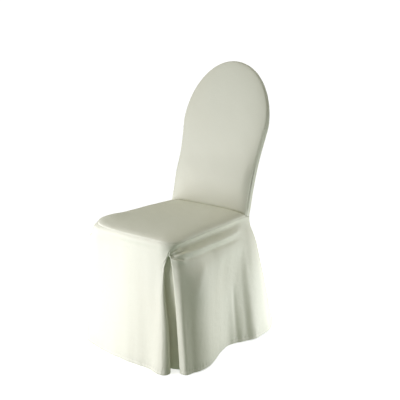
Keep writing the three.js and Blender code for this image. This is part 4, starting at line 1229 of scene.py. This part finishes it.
def cloth_material(name):
    """Plain-woven ivory polyester: fine yarns, slubs, a soft sheen and a little grey near the floor."""
    shader = Shader(bpy.data.materials.new(name))
    flat = shader.node("ShaderNodeUVMap", {"uv_map": "cloth"}).outputs["UV"]
    solid = shader.place("Object")
    across, down, height = shader.part(flat, 0), shader.part(flat, 1), shader.part(solid, 2)

    warp, weft = ((yarn * (2 * math.pi / YARN_PITCH)).sine() for yarn in (across, down))
    weave = warp * weft * 0.5 + 0.5
    slubs_down = shader.noise(shader.stretched(flat, (SLUBS["across"], SLUBS["along"], 1.0)), 1.0, 2.0)
    slubs_across = shader.noise(shader.stretched(flat, (SLUBS["along"], SLUBS["across"], 1.0)), 1.0, 2.0)
    slubs = (slubs_down + slubs_across) * 0.5
    crumple = shader.noise(solid, *CRUMPLE)
    wear = shader.noise(solid, *WEAR)
    patches = shader.noise(solid, *PATCHES)

    soil_height = height + (wear - 0.5) * SOILED["uneven"]
    near_floor = 1 - soil_height.between(SOILED["from"], SOILED["to"])
    tone = shader.blend(patches.between(0.35, 0.65), IVORY, IVORY_WARM)
    tone = shader.blend(slubs.between(0.4, 0.68) * 0.4, tone, IVORY_PALE)
    tone = shader.blend((1 - weave) * 0.10, tone, HEM_GREY)
    colour = shader.blend(near_floor * wear.between(0.3, 0.7) * SOILED["most"], tone, HEM_GREY)
    relief = weave * RELIEF["weave"] + slubs * RELIEF["slubs"] + crumple * RELIEF["crumple"]
    return shader.finish({
        "Base Color": colour,
        "Roughness": 0.66 + 0.16 * wear + 0.08 * weave,
        "Normal": shader.bumped(0.55, relief),
        "IOR": 1.42,
        "Sheen Weight": 0.22,
        "Sheen Roughness": 0.45,
        "Sheen Tint": (1.0, 0.98, 0.93, 1.0),
    })


def thread_material():
    """Twisted sewing thread, a shade yellower than the cloth."""
    shader = Shader(bpy.data.materials.new("sewing_thread"))
    twist = shader.noise(shader.place("Object"), *TWIST)
    return shader.finish({
        "Base Color": shader.blend(twist.between(0.35, 0.65), THREAD_DARK, THREAD_PALE),
        "Roughness": 0.45 + 0.2 * twist,
        "Normal": shader.bumped(0.5, twist * RELIEF["twist"]),
        "Sheen Weight": 0.1,
    })


# ---- stitches ----
HEM_STITCH = {"long": 2.9, "gap": 1.1, "radius": 0.28}
SEAT_STITCH = {"long": 3.4, "gap": 2.2, "radius": 0.4}
SEAT_STITCH_BELOW = 3.0
STITCH_RAISED = 0.1
STITCH_SINKS = 0.24  # how far a stitch's ends go into the cloth
# A stitch is a row of rings: places along it, in shares of its length, and the share of its radius there.
STITCH_RINGS = [(-0.5, 0.35), (-0.36, 0.9), (0.0, 1.0), (0.36, 0.9), (0.5, 0.35)]
STITCH_SIDES = 6
STITCH_OVAL = {"side": 1.15, "out": 0.8}


def stitches_along(path, ways, size):
    """Vertices of a row of stitches on a line of points. ways: the way out at each point."""
    lengths = lengths_along(path)
    count = int(lengths[-1] // (size["long"] + size["gap"]))
    middles = (np.arange(count) + 0.5) * lengths[-1] / count
    centre, start, end = (
        along_values(lengths, path, middles + size["long"] * share) for share in (0.0, -0.5, 0.5)
    )
    ahead = unit(end - start)
    side = unit(np.cross(ahead, unit(along_values(lengths, ways, middles))))
    out = np.cross(side, ahead)
    rings = []
    for share, thick in STITCH_RINGS:
        ring = centre + ahead * share * size["long"] - out * (2 * abs(share) * STITCH_SINKS)
        for turn in np.linspace(0, 2 * np.pi, STITCH_SIDES, endpoint=False):
            wide, high = math.cos(turn) * STITCH_OVAL["side"], math.sin(turn) * STITCH_OVAL["out"]
            rings.append(ring + (side * wide + out * high) * size["radius"] * thick)
    return np.stack(rings, axis=1).reshape(-1, 3)


def stitch_faces(count):
    """Faces of any number of stitches, whose vertices follow each other ring by ring."""
    per = len(STITCH_RINGS) * STITCH_SIDES
    faces = []
    for ring in range(0, per - STITCH_SIDES, STITCH_SIDES):
        for side in range(STITCH_SIDES):
            a, b = ring + side, ring + (side + 1) % STITCH_SIDES
            faces.append((a, b, b + STITCH_SIDES, a + STITCH_SIDES))
    faces += [tuple(range(STITCH_SIDES))[::-1], tuple(range(per - STITCH_SIDES, per))]
    return [tuple(v + stitch * per for v in face) for stitch in range(count) for face in faces]


def make_stitches(name, rows, material):
    """One piece of all the rows of stitches in rows: (path, ways, size)."""
    vertices = np.concatenate([stitches_along(*row) for row in rows])
    faces = stitch_faces(len(vertices) // (len(STITCH_RINGS) * STITCH_SIDES))
    piece = add_mesh(name, vertices * MM + FOOT_OF_BACK, faces, material)
    return piece


def hem_stitches(grid, flipped):
    """The row of stitches that holds a panel's hem, on the outside of its finished grid."""
    down = lengths_along(np.swapaxes(grid, 0, 1))
    above = down[:, -1:] - down
    points = [along_values(-above[i], grid[:, i], -HEM["stitch_at"]) for i in range(len(above))]
    row = np.argmin(np.abs(above[len(above) // 2] - HEM["stitch_at"]))
    ways = grid_normals(grid, flipped)[row]
    return points + ways * (THICKNESS / 2 + STITCH_RAISED), ways, HEM_STITCH


def seam_stitches(panel):
    """The row of stitches along the top of a skirt panel, just under the seat seam."""
    row = np.argmin(np.abs(DEPTHS - SEAT_STITCH_BELOW))
    grid = panel.plain + panel.move
    ways = grid_normals(grid, panel.flipped)[row]
    return grid[row] + ways * (THICKNESS / 2 + STITCH_RAISED), ways, SEAT_STITCH


# ---- the cover ----
cloth = cloth_material("ivory_polyester")
outside_back, outside_plain = outside_back_grids()
skirts = {"skirt_front": front, "skirt_right": right, "skirt_left": left}
grids = {name: panel.whole() for name, panel in skirts.items()}
inserts = {
    "pleat_back_right": insert_grid(front.edges["last"], right.edges["first"]),
    "pleat_back_left": insert_grid(front.edges["first"], left.edges["first"]),
}

make_seat(cloth)
make_inside_back(cloth)
make_strip(cloth)
make_cloth("back_rear", outside_back, flat_places(outside_plain), True, cloth)
for name, grid in {**grids, **inserts}.items():
    make_cloth(name, grid, flat_places(grid), not name.endswith("left"), cloth)
stitch_rows = [hem_stitches(grid, skirts[name].flipped) for name, grid in grids.items()]
stitch_rows.append(hem_stitches(outside_back, True))
stitch_rows += [seam_stitches(panel) for panel in skirts.values()]
stitches = make_stitches("hem_stitches", stitch_rows, thread_material())

# Each piece, the CAD solid that it stands for, the size of its flat cloth, and how it is held.
SHEETS = table(
    "piece node width length area held",
    ("seat_top", "seat_panel", 0.400, 0.414, 0.152, "stretched"),
    ("back_front", "inside_back_panel", 0.393, 0.550, 0.186, "stretched"),
    ("back_edge_strip", "back_strip", 0.028, 1.331, 0.031, "stretched"),
    ("back_rear", "outside_back_panel", 0.591, 0.996, 0.387, "hung"),
    ("skirt_front", "front_skirt_panel", 0.555, 0.463, 0.213, "hung"),
    ("skirt_right", "right_skirt_panel", 0.564, 0.475, 0.234, "hung"),
    ("skirt_left", "left_skirt_panel", 0.524, 0.460, 0.210, "hung"),
    ("pleat_back_right", "right_pleat_insert", 0.102, 0.396, 0.031, "hung"),
    ("pleat_back_left", "left_pleat_insert", 0.084, 0.399, 0.026, "hung"),
)
for row in SHEETS:
    piece = pieces[row["piece"]]
    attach(piece, "root")
    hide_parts(row["node"])
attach(stitches, "root")


# ---- floor, light and surroundings ----
WHITE = (1.0, 1.0, 1.0, 1.0)
FLOOR_REACH = 6.0
FLOOR_RINGS = 24
FLOOR_BELOW = 0.0005
FLOOR_GLOW = 0.62
FLOOR_DARK = (0.93, 0.93, 0.93, 1.0)
FLOOR_PALE = (0.95, 0.95, 0.95, 1.0)


def make_floor():
    """A pale flat floor that reaches far past the chair."""
    rows = np.linspace(-FLOOR_REACH, FLOOR_REACH, FLOOR_RINGS)
    x, y = np.meshgrid(rows, rows)
    vertices = stack(x, y, cad_low.z - FLOOR_BELOW).reshape(-1, 3)
    faces = grid_faces(np.arange(x.size).reshape(x.shape))
    shader = Shader(bpy.data.materials.new("pale_floor"))
    material = shader.finish({
        "Base Color": shader.blend(shader.noise(shader.place("Object"), 3.0), FLOOR_DARK, FLOOR_PALE),
        "Roughness": 0.9,
        "Emission Color": WHITE,
        "Emission Strength": FLOOR_GLOW,
    })
    floor = add_mesh("floor", vertices, faces.tolist(), material)
    floor.visible_diffuse = floor.visible_glossy = False


# Brightness of the white room round the chair: overhead, from under it, and as it is seen.
ROOM = {"overhead": 0.68, "under": 0.33, "seen": 1.1}
ROOM_BELOW = (0.79, 1.0, 0.73, 1.0)
ROOM_ABOVE = (1.0, 1.0, 0.935, 1.0)


def make_surroundings():
    """A dim white room, brightest overhead. Seen directly, it is plain white."""
    world = bpy.data.worlds.new("studio")
    bpy.context.scene.world = world
    shader = Shader(world)
    height = shader.part(shader.place("Generated"), 2)
    room = ROOM["overhead"] * height.between(0.0, 0.9) + ROOM["under"] * (0 - height).between(0.0, 0.5)
    seen = shader.value(shader.node("ShaderNodeLightPath"), "Is Camera Ray")
    tint = shader.blend(height.between(-0.1, 0.1), ROOM_BELOW, ROOM_ABOVE)
    background = shader.node("ShaderNodeBackground", {}, {
        "Color": shader.blend(seen, tint, WHITE),
        "Strength": room * (1 - seen) + ROOM["seen"] * seen,
    })
    shader.node("ShaderNodeOutputWorld", {}, {"Surface": background.outputs["Background"]})


# Soft square lamps: place and size in metres.
LAMPS = table(
    "name place power size colour",
    ("front_light", (-1.1, -2.3, 0.35), 38.0, 1.5, (1.0, 0.985, 1.10)),
    ("low_front_light", (-0.50, -1.15, 0.20), 8.8, 0.6, (1.0, 0.985, 1.10)),
    ("side_light", (0.65, 0.45, 0.08), 5.0, 0.4, (1.0, 1.01, 1.11)),
)


def make_lamp(name, place, power, size, colour):
    """A lamp turned to the middle of the skirt."""
    data = bpy.data.lights.new(name, "AREA")
    data.energy, data.size, data.color = power, size, colour
    lamp = bpy.data.objects.new(name, data)
    bpy.context.scene.collection.objects.link(lamp)
    lamp.visible_camera = False
    lamp.location = place
    away = Vector(place) - Vector((0.0, cad_low.y, SEAT_HEIGHT * MM / 2))
    lamp.rotation_euler = away.to_track_quat("Z", "Y").to_euler()


make_floor()
make_surroundings()
for lamp in LAMPS:
    make_lamp(**lamp)
bpy.context.scene.view_settings.view_transform = "Standard"
